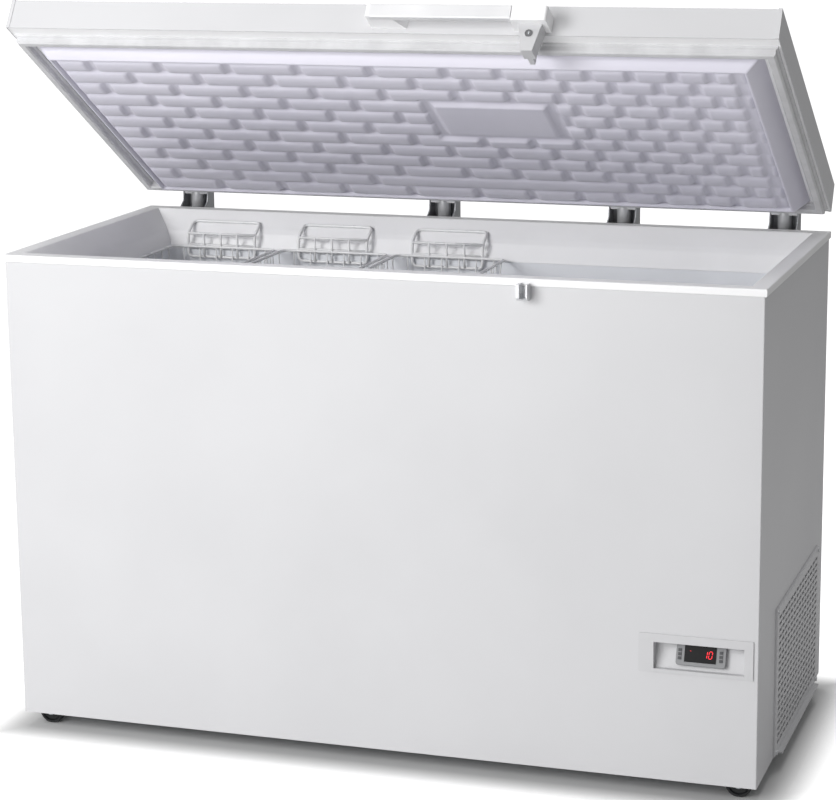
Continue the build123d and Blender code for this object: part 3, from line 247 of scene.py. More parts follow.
# Soft vinyl: dull and a little uneven.
vinyl = finish_of("gasket_vinyl_pale", "#D2D2D4", 0.6, grain_mm=1.5, depth_mm=0.05,
                  tint="#C8C8CA", stretch=(1, 1, 0.3), patch_mm=30)
dress(liner_coat, "liner")
dress(formed_styrene, "lid_liner")
dress(foam, "insulation", "lid_insulation")
dress(vinyl, "lid_gasket")

# %% [markdown]
# ## Steels
# Galvanised sheet shows spangle, zinc crystals about a centimetre wide, which a Voronoi
# pattern draws as patches of different gloss. Small turned parts are zinc plated, the
# springs are oiled wire, and the hinges wear a metallic grey paint.

# %% Galvanised sheet with spangle
crystal_mm = 11
# Zinc crystals: each patch has its own gloss.
galvanised = finish_of("galvanised_sheet", "#A9ADB0", 0.42, metallic=0.9, grain_mm=1.0,
                       depth_mm=0.01, tint="#989CA0")
tree = galvanised.node_tree
spangle = add(tree, "ShaderNodeTexVoronoi", inputs={
    "Vector": tree.nodes["Texture Coordinate"].outputs["Object"], "Scale": 1000 / crystal_mm})
crystal = add(tree, "ShaderNodeMapRange", inputs={
    "Value": spangle.outputs["Color"], "To Min": 0.28, "To Max": 0.55})
tree.links.new(crystal.outputs["Result"], tree.nodes["Principled BSDF"].inputs["Roughness"])
dress(galvanised, "base_pan", "machine_room_panel", "fan_shroud", "roller_brackets")

# %% Zinc plate, hinge paint, spring wire and chrome
# Bright zinc under a clear coat: pale, with soft highlights.
zinc_plate = finish_of("zinc_plated_steel", "#DADBDD", 0.35, metallic=0.35, grain_mm=0.5,
                       depth_mm=0.004, tint="#D0D1D3", patch_mm=25)
# Flakes under lacquer: part of the paint's shine is metal's.
hinge_paint = finish_of("hinge_paint_grey", "#A9ABAE", 0.4, metallic=0.35, grain_mm=0.8,
                        depth_mm=0.01, tint="#9C9EA2", patch_mm=40)
# Oiled wire: darker steel with clear highlights.
spring_wire_finish = finish_of("oiled_spring_wire", "#8A8B8E", 0.3, metallic=0.9,
                               grain_mm=0.4, depth_mm=0.004, tint="#77787C")
# Chrome: a near mirror, a touch bluish.
chrome = finish_of("polished_chrome", "#D5D6D8", 0.12, metallic=1.0, grain_mm=0.4,
                   depth_mm=0.001, tint="#CDCED0", gloss_change=0.03)
dress(zinc_plate, "keeper", "panel_screws", "temperature_probe", "hinge_pins",
      "roller_axles", "hinge_plungers")
dress(hinge_paint, "hinge_base_1", "hinge_base_2", "hinge_base_3", "hinge_base_4",
      "hinge_leaves")
dress(spring_wire_finish, "hinge_springs")
dress(chrome, "lock_cylinder", "lock_bolt")

# %% [markdown]
# ## The machine room's finishes
# The compressor wears baked black enamel, and the fan, the relay box and the rollers
# are glass-filled nylon. The fins are bare aluminium, and the lines are drawn copper,
# pink where it is bright and brown where hands have been.

# %% Enamel, nylon, rubber, fins and copper
# Baked enamel: black with a wet shine.
black_enamel = finish_of("baked_black_enamel", "#1B1C1E", 0.28, grain_mm=3.0,
                         depth_mm=0.02, tint="#151618")
# Fibre-filled nylon: black and half matt.
black_nylon = finish_of("glass_filled_nylon_black", "#202124", 0.5, grain_mm=0.7,
                        depth_mm=0.02, tint="#18191B")
# Rubber: matt black.
mount_rubber = finish_of("moulded_rubber_black", "#1D1D1E", 0.75, grain_mm=1.0,
                         depth_mm=0.03, tint="#161617")
# Rolled aluminium: bright, its grain drawn out in height.
fin_metal = finish_of("rolled_aluminium_fins", "#C4C6C8", 0.35, metallic=1.0,
                      grain_mm=0.8, depth_mm=0.01, tint="#B2B4B7", stretch=(1, 1, 0.1))
# Die casting: grey and grainy.
cast_metal = finish_of("die_cast_aluminium", "#7B7D80", 0.5, metallic=0.8, grain_mm=1.0,
                       depth_mm=0.05, tint="#6C6E71")
# Drawn copper: pink where bright, brown where handled.
copper = finish_of("drawn_copper", "#C98B66", 0.28, metallic=1.0, grain_mm=1.0,
                   depth_mm=0.004, tint="#A66B4B", patch_mm=30)
dress(black_enamel, "compressor")
dress(black_nylon, "relay_box", "fan_blades", "roller_front_left", "roller_front_right",
      "roller_back_left", "roller_back_right")
dress(mount_rubber, "compressor_mounts")
dress(fin_metal, "condenser")
dress(cast_metal, "fan_motor")
dress(copper, "evaporator_coil", "refrigerant_tubes", "filter_drier")

# %% [markdown]
# ## Controller and handle
# The thermostat is a panel instrument: mid-grey polycarbonate, dark keys and a smoked
# window. The handle is an anodised aluminium extrusion, brushed along its length, so
# its grain is drawn out forty times along X.

# %% Polycarbonate, smoked window, keys and anodised aluminium
# Polycarbonate: an even middle grey.
grey_housing = finish_of("polycarbonate_grey", "#8C8D8F", 0.42, grain_mm=0.5,
                         depth_mm=0.01, tint="#848587")
# Smoked acrylic: near black, with little reflection in the photograph.
smoked_window = finish_of("smoked_acrylic", "#0C0C0E", 0.3, grain_mm=5.0,
                          depth_mm=0.001, tint="#0A0A0C", gloss_change=0.02)
# Keys: dark, dull plastic.
key_plastic = finish_of("key_plastic_dark", "#4A4B4E", 0.5, grain_mm=0.4, depth_mm=0.01,
                        tint="#444548")
# Brushed and anodised: a white metal, its highlights drawn out along the bar.
anodised = finish_of("anodised_aluminium_brushed", "#F0F0F1", 0.4, metallic=0.3,
                     grain_mm=0.5, depth_mm=0.006, tint="#EAEAEC", stretch=(0.025, 1, 1))
window_shader = smoked_window.node_tree.nodes["Principled BSDF"]
window_shader.inputs["Specular IOR Level"].default_value = 0.15
dress(grey_housing, "controller_body")
dress(smoked_window, "display_window")
dress(key_plastic, *[f"key_{n}" for n in range(1, 7)])
dress(anodised, "handle_bar")

# %% [markdown]
# ## Surfaces from arrays
# New pieces are worked out with numpy. A grid of points becomes quads by joining each
# point with its neighbours, and a wrapped grid joins its last row or column to its
# first. A stack of rings with four corners is such a grid with a cap at each end.


# %% From points to faces
def quads(rows, columns, wrap_rows=False, wrap_columns=False):
    """Joins each point of a grid with the next in its row and the two above them.

    Points are numbered row after row. Where the grid wraps, its last row or column is
    followed by the first one again.
    """
    i, j = np.meshgrid(
        np.arange(rows if wrap_rows else rows - 1),
        np.arange(columns if wrap_columns else columns - 1),
        indexing="ij",
    )
    i, j = i.ravel(), j.ravel()
    a, b = (i + 1) % rows, (j + 1) % columns
    return np.stack([i * columns + j, i * columns + b, a * columns + b, a * columns + j], 1)


def capped(levels):
    """Walls between rings of four points, one ring per level, and a cap at each end."""
    top = np.arange(4) + 4 * (levels - 1)
    return np.concatenate([quads(levels, 4, wrap_columns=True), [[3, 2, 1, 0]], [top]])


def repeated(faces, points_each, copies):
    """The same faces for every copy, each copy's points numbered after the last one's."""
    return (faces + points_each * np.arange(copies)[:, None, None]).reshape(-1, 4)


def weld(parts):
    """Joins several (points, faces) into one pair.

    A quad that names one point twice becomes a triangle.
    """
    points, faces, shift = [], [], 0
    for part_points, part_faces in parts:
        points.append(part_points)
        faces += [list(dict.fromkeys(row)) for row in (part_faces + shift).tolist()]
        shift += len(part_points)
    return np.concatenate(points), np.array(faces, object)


print("a box has", len(capped(2)), "faces")


# %% From faces to a piece that rides on its body
def piece(name, points, faces, material, body, slot, smooth=True, replaces=()):
    """Makes a mesh object, its place in its points, and lets it ride on its CAD body."""
    mesh = bpy.data.meshes.new(name)
    mesh.from_pydata(np.asarray(points).reshape(-1, 3).tolist(), [], faces.tolist())
    mesh.polygons.foreach_set("use_smooth", np.full(len(mesh.polygons), smooth))
    mesh.materials.append(material)
    mesh.update()
    made = bpy.data.objects.new(name, mesh)
    bpy.context.scene.collection.objects.link(made)
    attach(made, body)
    if replaces:
        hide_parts(*replaces)
    print(name, len(mesh.vertices), "points", len(mesh.polygons), "faces")


# %% [markdown]
# ## The lid's own coordinates
# The lid stands open by 32 degrees about the hinge pins. Its pieces are worked out as
# if it were shut, in widths, depths and a rise above its lower edge, and one rotation
# about the pins brings them to the open pose. The pins, the rim and the cabinet's size
# are read from the frame, so that the pieces follow the CAD.

# %% Turning the shut lid open
pins_low, pins_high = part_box("hinge_pins")
pin_y, pin_z = (pins_low.y + pins_high.y) / 2, (pins_low.z + pins_high.z) / 2
rim_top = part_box("rim_frame")[1].z
cabinet_x, cabinet_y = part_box("outer_shell")[1].xy
side_overhang, front_overhang, back_overhang, lid_gap, lid_thick = 0.004, 0.026, 0.014, 0.014, 0.051
skirt_z = rim_top + lid_gap
lid_half = cabinet_x + side_overhang
lid_front, lid_back = -cabinet_y - front_overhang, cabinet_y + back_overhang
opening = radians(32)


def opened(x, y, rise):
    """Turns a point of the shut lid about the pins.

    Its new depth from the pins is the old depth times the cosine plus the old height
    times the sine, and its new height is the old height times the cosine less the old
    depth times the sine.
    """
    y, z = y - pin_y, skirt_z + rise - pin_z
    return np.stack(
        np.broadcast_arrays(
            x,
            pin_y + y * np.cos(opening) + z * np.sin(opening),
            pin_z - y * np.sin(opening) + z * np.cos(opening),
        ),
        -1,
    )


print("front edge of the open lid:", np.round(opened(0.0, lid_front, 0.0), 3).tolist())

# %% [markdown]
# ## The lid's plug
# The underside of the lid is one vacuum-formed sheet pressed into courses of rounded
# bricks, which stiffen it. It could be carved brick by brick, but a height field suits
# it better: each course is a rounded crest across its width, and the crest dies away at
# each upright joint. The courses are 42 mm wide, with long bricks on the left and short
# ones on the right. A plain plateau with sloping sides lies over the fourth to sixth
# course, right of the middle.

# %% Sizes of the courses, their joints and the plateau
plug_inset_x, plug_inset_y, plug_low = 0.06, 0.0405, -0.026
plug_half_x, plug_half_y = lid_half - plug_inset_x, cabinet_y - plug_inset_y
course_count, crest_height, crest_power = 12, 0.0068, 2.5
course = 2 * plug_half_y / course_count
# Upright joints in millimetres from the lid's middle. Courses take the first two sets in
# turn, and the last but one has the third, with a single plain brick in its middle.
long_courses = np.array([-515, -393, -271, -148, -26, 95, 182, 262, 330, 398, 466, 522, 560])
short_courses = np.array([-453, -333, -210, -87, 33, 126, 215, 288, 360, 430, 488, 561])
plain_course = np.array([-517, -398, -272, -147, 316, 386, 446, 519, 558])
joint_waver_mm, waver_turn, waver_length_mm = 3, 2.3, 90
joint_half, joint_slope = 0.004, 0.0065
edge_flat, edge_slope = 0.001, 0.006
plateau_x, plateau_y, plateau_half_x, plateau_half_y = 0.138, -0.063, 0.1, 0.06
plateau_slope, moat = 0.009, 0.016
print("courses:", course_count, "each", round(1000 * course), "mm wide")


# %% Brick courses as a height field
def soft_step(t):
    """Three times the square of t less twice its cube, for t held between 0 and 1."""
    t = np.clip(t, 0, 1)
    return t * t * (3 - 2 * t)


def brick_height(x, y):
    """How far the sheet stands out, in metres.

    Across a course the crest is the square root of one less a power of the distance
    from the course's middle, counted in half courses. It is multiplied by a soft step
    of the distance to the nearest joint, and by one of the distance to the plug's edge.
    The plateau is a soft step of the distance inside its rectangle, and the bricks round
    it are cleared by another. Joints waver along a sine.
    """
    courses_up = (y + plug_half_y) / course
    row = np.clip(np.floor(courses_up), 0, course_count - 1).astype(int)
    across = courses_up * 2 - 2 * row - 1
    crest = np.sqrt(np.clip(1 - np.abs(across) ** crest_power, 0, 1))
    height = np.zeros_like(x)
    for k in range(course_count):
        joints = plain_course if k == course_count - 2 else (long_courses, short_courses)[k % 2]
        shift = np.sin(waver_turn * k + joints / waver_length_mm) * joint_waver_mm
        nearest = np.abs(x[..., None] - (joints + shift) / 1000).min(-1)
        ends = soft_step((nearest - joint_half) / joint_slope)
        height = np.where(row == k, crest * ends, height)
    border = np.minimum(plug_half_x - np.abs(x), plug_half_y - np.abs(y))
    height *= soft_step((border - edge_flat) / edge_slope)
    inside = np.minimum(plateau_half_x - np.abs(x - plateau_x), plateau_half_y - np.abs(y - plateau_y))
    plateau = soft_step(inside / plateau_slope)
    cleared = soft_step((inside + moat) / edge_slope)
    return np.maximum(height * (1 - cleared), plateau) * crest_height


sample = brick_height(np.array([-0.45]), np.array([0.5 * course - plug_half_y]))
print("a crest stands out by", np.round(1000 * sample[0], 1), "mm")


# %% The plug's skin: underside, then the sloping sides up to the frame
def edge_of(grid):
    """A grid's edge in order: first row, last column, last row, first column."""
    return np.concatenate([grid[0], grid[1:-1, -1], grid[-1, ::-1], grid[-2:0:-1, 0]])


grid_columns, grid_rows = 288, 169
flange_inset_x, flange_inset_y = 0.031, 0.0245
plug_out_x, plug_out_y = plug_inset_x - flange_inset_x, plug_inset_y - flange_inset_y
gx, gy = np.meshgrid(np.linspace(-plug_half_x, plug_half_x, grid_columns),
                     np.linspace(-plug_half_y, plug_half_y, grid_rows))
underside = opened(gx, gy, plug_low + crest_height - brick_height(gx, gy))
# Each ring: share of the slope, rise, and how far it swells past the courses' edge.
side_rings = [(0.0, plug_low + crest_height, 0.0), (0.0, plug_low + 0.001, 0.0015),
              (0.0005, plug_low, 0.003), (0.004, plug_low + 0.001, 0.006),
              (1.0, 0.001, 0.0), (1.0, 0.004, 0.0)]
sides = np.array([
    opened(edge_of(gx) * (1 + (share * plug_out_x + swell) / plug_half_x),
           edge_of(gy) * (1 + (share * plug_out_y + swell) / plug_half_y), rise)
    for share, rise, swell in side_rings
])
plug_faces = np.concatenate([
    quads(grid_rows, grid_columns)[:, ::-1],
    quads(len(side_rings), sides.shape[1], wrap_columns=True)[:, ::-1] + gx.size,
])
plug_points = np.concatenate([underside.reshape(-1, 3), sides.reshape(-1, 3)])
piece("lid_plug_skin", plug_points, plug_faces, formed_styrene, "lid", "plug_plastic",
      replaces=["lid_liner"])

# %% [markdown]
# ## The lid's foam
# Foam is poured between skin and plug, so it fills whatever shape they leave. Its core
# here stops two millimetres short of the brick courses' valleys. It is a stack of level
# rectangles joined by walls, with a cap at each end.

# %% Foam core, clear of the courses
valley_gap, plug_gap, wall_gap = 0.002, 0.003, 0.002
flange_low, flange_top = 0.0035, 0.0042
core_low = plug_low + crest_height + valley_gap
low_x, low_y = plug_half_x - plug_gap, plug_half_y - plug_gap
neck_x, neck_y = plug_half_x + plug_out_x - plug_gap, plug_half_y + plug_out_y - wall_gap
wide = (lid_half - wall_gap, lid_front + wall_gap, lid_back - wall_gap)
core_levels = [(low_x, -low_y, low_y, core_low), (neck_x, -neck_y, neck_y, flange_low),
               (neck_x, -neck_y, neck_y, flange_top), (*wide, flange_top),
               (*wide, lid_thick - plug_gap)]
core = np.array([
    opened(np.array([-x, x, x, -x]), np.array([front, front, back, back]), rise)
    for x, front, back, rise in core_levels
])
piece("lid_foam_core", core, capped(len(core_levels)), foam, "lid", "foam", smooth=False,
      replaces=["lid_insulation"])

# %% [markdown]
# ## The rim moulding
# The moulding round the mouth is one profile mitred at its four corners: a lip over
# the shell, the flat that the gasket seals on, and a throat in three slopes. Carrying
# the profile round a rectangle puts each of its points on a smaller rectangle, by its
# distance inward. Small curves at the profile's corners catch the light.


# %% A profile carried round a rectangle
def eased(line, radius, steps=4):
    """Rounds a line's corners with quadratic curves.

    A curve starts and ends within radius of its corner, along the line. A share t along
    it, the start weighs the square of one less t, the corner twice t times one less t,
    and the end the square of t.
    """
    line = np.asarray(line, float)
    out = [line[:1]]
    t = np.linspace(0, 1, steps + 1)[:, None]
    for before, corner, after in zip(line[:-2], line[1:-1], line[2:]):
        reach = [min(radius, 0.45 * np.linalg.norm(end - corner)) for end in (before, after)]
        a = corner + (before - corner) / np.linalg.norm(before - corner) * reach[0]
        b = corner + (after - corner) / np.linalg.norm(after - corner) * reach[1]
        out.append((1 - t) ** 2 * a + 2 * t * (1 - t) * corner + t**2 * b)
    out.append(line[-1:])
    return np.concatenate(out)


def mitred(profile, half_x, half_y, base_z):
    """Puts each profile point at the four corners of a rectangle.

    A corner is half the size less the point's distance inward, and the point's own
    height is counted from base_z.
    """
    inward, up = profile.T
    return np.array([
        np.stack([side_x * (half_x - inward), side_y * (half_y - inward), base_z + up], -1)
        for side_x, side_y in ((-1, -1), (1, -1), (1, 1), (-1, 1))
    ])


print("a right angle eased in", len(eased([(0, 0), (1, 0), (1, 1)], 0.2)), "points")

# %% The rim moulding, its profile inward and up from the shell's edge
rim_line = np.array([(0, -12), (-3, -12), (-3, 0), (24, 0), (50, -28), (56, -36), (68, -64),
                     (68, -66), (65, -66), (0, -12)]) / 1000
rim_easing = 0.0022
rim_profile = eased(rim_line, rim_easing)
rim_points = mitred(rim_profile, cabinet_x, cabinet_y, rim_top)
piece("rim_moulding", rim_points, quads(4, len(rim_profile), wrap_rows=True)[:, ::-1],
      abs_white, "cabinet", "white_moulding", smooth=False, replaces=["rim_frame"])

# %% [markdown]
# ## The baskets
# Each basket is welded from round steel wire dipped in white plastic. A curve with a
# bevel could draw the wires, but as plain arrays they stay in one mesh: a ring of
# points is carried along each wire's line. A fixed slanting direction, to which no wire
# is parallel, keeps the rings from twisting.


# %% Round wires along lines
def wire(line, radius, sides=10, closed=False):
    """A tube round a line, with a fan of triangles over each open end.

    A ring's point is the line's point, plus the radius times the cosine of its angle
    along one direction, plus the radius times the sine along another. The first is the
    line's cross product with a fixed slanting direction, and the second is the cross
    product of the first with the line, so both are square to it.
    """
    line = np.asarray(line, float)
    ahead = np.roll(line, -1, 0) - np.roll(line, 1, 0)
    if not closed:
        ahead[0], ahead[-1] = line[1] - line[0], line[-1] - line[-2]
    ahead /= np.linalg.norm(ahead, axis=1, keepdims=True)
    slanting = np.array([0.31, 0.17, 0.93])
    side = np.cross(ahead, slanting)
    side /= np.linalg.norm(side, axis=1, keepdims=True)
    up = np.cross(side, ahead)
    a = np.linspace(0, 2 * np.pi, sides, endpoint=False)[None, :, None]
    rings = line[:, None] + radius * (np.cos(a) * side[:, None] + np.sin(a) * up[:, None])
    faces = quads(len(line), sides, wrap_rows=closed, wrap_columns=True)
    if closed:
        return rings.reshape(-1, 3), faces
    points = np.concatenate([rings.reshape(-1, 3), line[:1], line[-1:]])
    k = np.arange(sides)
    n = (k + 1) % sides
    first, last = len(points) - 2, len(points) - 1
    start = np.stack([np.full(sides, first), n, k, np.full(sides, first)], 1)
    end = np.stack([np.full(sides, last), k, n, np.full(sides, last)], 1)
    end[:, 1:3] += (len(line) - 1) * sides
    return points, np.concatenate([faces, start, end])


def hoop(half_x, half_y, z, radius=0.016):
    """A closed rounded rectangle, level at height z."""
    corners = [(half_x, 0), (half_x, half_y), (-half_x, half_y), (-half_x, -half_y),
               (half_x, -half_y), (half_x, 0)]
    return eased([(x, y, z) for x, y in corners], radius, 6)[:-1]


print("a straight wire has", len(wire([(0, 0, 0), (0.1, 0, 0)], 0.001)[0]), "points")

# %% [markdown]
# The body is a thick rim, four level rings and thin mesh wires bent up at the floor's
# edges. It tapers towards the floor, so every size is a share of the way from the rim's
# size to the floor's.

# %% Wires of a basket's body
basket_drop = 0.06
basket_rim_z = rim_top - basket_drop
rim_wire_radius, ring_radius, mesh_radius, mesh_bend = 0.0025, 0.0015, 0.0014, 0.014
basket_low, basket_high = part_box("basket_left")
basket_floor_z = basket_low.z + ring_radius
rim_x_half, rim_y_half = (basket_high.x - basket_low.x) / 2 - rim_wire_radius, 0.214
floor_x_half, floor_y_half = 0.0865, 0.2005
ring_shares = (0.25, 0.5, 0.75, 0.985)
mesh_y, mesh_x = np.linspace(-0.19, 0.19, 14), np.linspace(-0.08, 0.08, 6)


def at_depth(share):
    """Half sizes and height of the tapered body, share 0 at the rim and 1 at the floor."""
    return (rim_x_half + (floor_x_half - rim_x_half) * share,
            rim_y_half + (floor_y_half - rim_y_half) * share,
            basket_rim_z + (basket_floor_z - basket_rim_z) * share)


def body_wires():
    """The body's wires round x = 0, as (points, faces) pairs."""
    parts = [wire(hoop(rim_x_half, rim_y_half, basket_rim_z), rim_wire_radius, closed=True)]
    for share in ring_shares:
        parts.append(wire(hoop(*at_depth(share)), ring_radius, 8, closed=True))
    low_x, low_y, low_z = at_depth(1)
    for y in mesh_y:
        line = [(rim_x_half, y, basket_rim_z), (low_x, y * low_y / rim_y_half, low_z),
                (-low_x, y * low_y / rim_y_half, low_z), (-rim_x_half, y, basket_rim_z)]
        parts.append(wire(eased(line, mesh_bend), mesh_radius, 6))
    for x in mesh_x:
        line = [(x, rim_y_half, basket_rim_z), (x * low_x / rim_x_half, low_y, low_z),
                (x * low_x / rim_x_half, -low_y, low_z), (x, -rim_y_half, basket_rim_z)]
        parts.append(wire(eased(line, mesh_bend), mesh_radius, 6))
    return parts


print("wires in a basket's body:", len(body_wires()))

# %% [markdown]
# A hanger stands at each end: a loop that leans out at the top to rest on the rim's
# throat, crossed by two rails and three uprights.

# %% Hangers, and three baskets
hanger_left, hanger_right, hanger_bend, hanger_radius = -0.072, 0.058, 0.01, 0.0028
hanger_out, hook_out, upright_inset = 0.217, 0.2478, 0.003
hook_z, top_rail_z, low_rail_z, hanger_low_z = rim_top - np.array([0.018, 0.0365, 0.057, 0.0785])
top_rail_radius, low_rail_radius, upright_radius = 0.0024, 0.0022, 0.002
upright_x = (-0.0395, -0.007, 0.0255)


def hanger_wires(side):
    """One hanger's wires, side -1 at the front and 1 at the back."""
    leg = [(hook_out, hook_z), (hanger_out, top_rail_z), (hanger_out, hanger_low_z)]
    loop = [((hanger_left + hanger_right) / 2, side * hook_out, hook_z)]
    loop += [(hanger_left, side * y, z) for y, z in leg]
    loop += [(hanger_right, side * y, z) for y, z in leg[::-1]]
    loop.append(loop[0])
    parts = [wire(eased(loop, hanger_bend, 5)[:-1], hanger_radius, closed=True)]
    for z, radius in ((top_rail_z, top_rail_radius), (low_rail_z, low_rail_radius)):
        line = [(hanger_left, side * hanger_out, z), (hanger_right, side * hanger_out, z)]
        parts.append(wire(line, radius, 8))
    for x in upright_x:
        y = side * (hanger_out - upright_inset)
        parts.append(wire([(x, y, top_rail_z), (x, y, hanger_low_z)], upright_radius, 8))
    return parts


# Plastic-dipped wire: smooth, white and rather shiny.
coated_wire = finish_of("plastic_coated_wire_white", "#ECECEC", 0.3, grain_mm=1.5,
                        depth_mm=0.01, tint="#E4E5E6", patch_mm=40)
wire_points, wire_faces = weld(body_wires() + hanger_wires(-1) + hanger_wires(1))
for name in ("left", "middle", "right"):
    basket_low, basket_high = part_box(f"basket_{name}")
    piece(f"basket_{name}_wires", wire_points + ((basket_low.x + basket_high.x) / 2, 0, 0),
          wire_faces, coated_wire, f"{name}_basket", "coated_wire", replaces=[f"basket_{name}"])

# %% [markdown]
# ## Inside the hinges
# Each hinge's spring works inside a bright steel sleeve that hangs from the plunger,
# and a folded web closes the channel behind it. The sleeve is a circle carried down a
# short profile, and the web is a thin plate. The web stops below the cam's sweep.

# %% Spring sleeves
hinge_x = [sum(corner.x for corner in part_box(f"hinge_base_{n}")) / 2 for n in range(1, 5)]
sleeve_y = sum(corner.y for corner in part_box("hinge_plungers")) / 2
sleeve_low, sleeve_high, sleeve_bore, sleeve_radius = 0.8, 0.8585, 0.0102, 0.012
sleeve_easing, sleeve_sides = 0.0015, 40
sleeve_profile = np.array([
    (sleeve_bore, sleeve_low), (sleeve_radius, sleeve_low),
    (sleeve_radius, sleeve_high - sleeve_easing),
    (sleeve_radius - sleeve_easing, sleeve_high), (sleeve_bore, sleeve_high)])
turn = np.linspace(0, 2 * np.pi, sleeve_sides, endpoint=False)
sleeve = np.stack([
    sleeve_profile[:, :1] * np.cos(turn),
    sleeve_y + sleeve_profile[:, :1] * np.sin(turn),
    np.repeat(sleeve_profile[:, 1:], sleeve_sides, 1),
], -1)


def at_hinges(points, faces):
    """One copy of a part at each of the four hinges."""
    return weld([(points.reshape(-1, 3) + (x, 0, 0), faces) for x in hinge_x])


sleeve_faces = quads(len(sleeve_profile), sleeve_sides, wrap_rows=True, wrap_columns=True)
piece("hinge_spring_sleeves", *at_hinges(sleeve, sleeve_faces), zinc_plate, "plungers",
      "zinc_steel")

# %% Back webs
base_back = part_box("hinge_base_1")[1].y
web_half, web_front, web_back = 0.023, base_back - 0.002, base_back - 0.0002
web_low, web_high = 0.72, 0.862
web = np.array([
    [(-web_half, web_front, z), (web_half, web_front, z),
     (web_half, web_back, z), (-web_half, web_back, z)]
    for z in (web_low, web_high)
])
piece("hinge_back_webs", *at_hinges(web, capped(2)), hinge_paint, "cabinet", "hinge_paint",
      smooth=False)

# %% [markdown]
# ## The grille
# The vent in the right side is one moulded plate with twenty rows of short slots. Holes
# could be cut with a boolean, but the plate is a grid of like cells, so each cell is
# written as four rectangles: its outline and its slot on the face, then the slot and
# the outline on the back. The walls between them make the slot.

# %% Cells with a slot each
grille_low, grille_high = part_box("grille")
plate_face, plate_back = cabinet_x + 0.004, cabinet_x + 0.0001
row_count, column_count, slot_share = 20, 14, (0.8, 0.5)
side_margin, low_margin, top_margin = 0.012, 0.014, 0.012
inner_y = (grille_low.y + side_margin, grille_high.y - side_margin)
inner_z = (grille_low.z + low_margin, grille_high.z - top_margin)
edges_y = np.linspace(*inner_y, column_count + 1)
edges_z = np.linspace(*inner_z, row_count + 1)
middle_y, middle_z = np.meshgrid((edges_y[1:] + edges_y[:-1]) / 2, (edges_z[1:] + edges_z[:-1]) / 2)
centres = np.stack([middle_y.ravel(), middle_z.ravel()], 1)[:, None]
corners = np.array([(-1, -1), (1, -1), (1, 1), (-1, 1)])
half_cell = np.array([edges_y[1] - edges_y[0], edges_z[1] - edges_z[0]]) / 2
half_slot = half_cell * slot_share
levels = []
for half, x in ((half_cell, plate_face), (half_slot, plate_face), (half_slot, plate_back),
                (half_cell, plate_back)):
    ring = centres + corners * half
    levels.append(np.concatenate([np.full(ring.shape[:2] + (1,), x), ring], -1))
cells = np.stack(levels, 1).reshape(-1, 3)
cell_count = row_count * column_count
cell_faces = repeated(quads(4, 4, wrap_columns=True), 16, cell_count)
print("slots:", cell_count, "each", np.round(2000 * half_slot, 1).tolist(), "mm")


# %% Border and foot lip, joined with the cells
def rectangle(y, z):
    """Four corners from a pair of depths and a pair of heights."""
    return np.array([(y[0], z[0]), (y[1], z[0]), (y[1], z[1]), (y[0], z[1])])


edge_drop, edge_share = 0.0012, 0.1
inner = rectangle(inner_y, inner_z)
outer = rectangle((grille_low.y, grille_high.y), (grille_low.z, grille_high.z))
border = np.array([
    [(x, y, z) for y, z in ring]
    for ring, x in ((inner, plate_back), (outer, plate_back), (outer, plate_face - edge_drop),
                    (outer + (inner - outer) * edge_share, plate_face), (inner, plate_face))
])
lip_inset, lip_tip, lip_root = 0.02, 0.0025, 0.003
lip_low, lip_out = grille_low.z, grille_high.x
lip = np.array([
    [(plate_face, y, lip_low), (lip_out, y, lip_low),
     (lip_out, y, lip_low + lip_tip), (plate_face, y, lip_low + lip_root)]
    for y in (grille_low.y + lip_inset, grille_high.y - lip_inset)
])
plate_points, plate_faces = weld([
    (cells, cell_faces),
    (border.reshape(-1, 3), quads(5, 4, wrap_columns=True)[:, ::-1]),
    (lip.reshape(-1, 3), capped(2)),
])
# The plate wears the darker copy of the white plastic, which carries painted shade.
piece("side_grille_plate", plate_points, plate_faces, abs_white_shaded, "cabinet",
      "white_moulding", smooth=False, replaces=["grille"])

# %% [markdown]
# ## The display's figures
# The controller shows the temperature in red light-emitting segments. A font would give
# solid strokes, so each figure is built as the real one is, from separate bars, and
# only the lit ones are made. The real bars shine through the smoked window. These lie a
# tenth of a millimetre in front of it, so that it can stay a plain dark skin. The panel
# leans back by 15 mm in 43.

# %% The leaning panel's coordinates
lean = np.arctan2(15, 43)
panel_x = sum(corner.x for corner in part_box("controller_body")) / 2
panel_origin = np.array([panel_x, -0.278, 0.232])
panel_right = np.array([1, 0, 0])
panel_up = np.array([0, np.sin(lean), np.cos(lean)])
panel_out = np.array([0, -np.cos(lean), np.sin(lean)])
bar_back, bar_front = 0.0091, 0.0094


def on_panel(u, v, out):
    """The origin, plus u to the right, v up the panel and out along its normal."""
    u, v, out = np.broadcast_arrays(u, v, out)
    return (panel_origin + u[..., None] * panel_right + v[..., None] * panel_up
            + out[..., None] * panel_out)


def bar_between(flat_u, flat_v):
    """A thin bar with the given outline, just in front of the window."""
    return np.array([on_panel(flat_u, flat_v, out) for out in (bar_back, bar_front)])


print("the panel leans by", round(float(np.degrees(lean)), 1), "degrees")

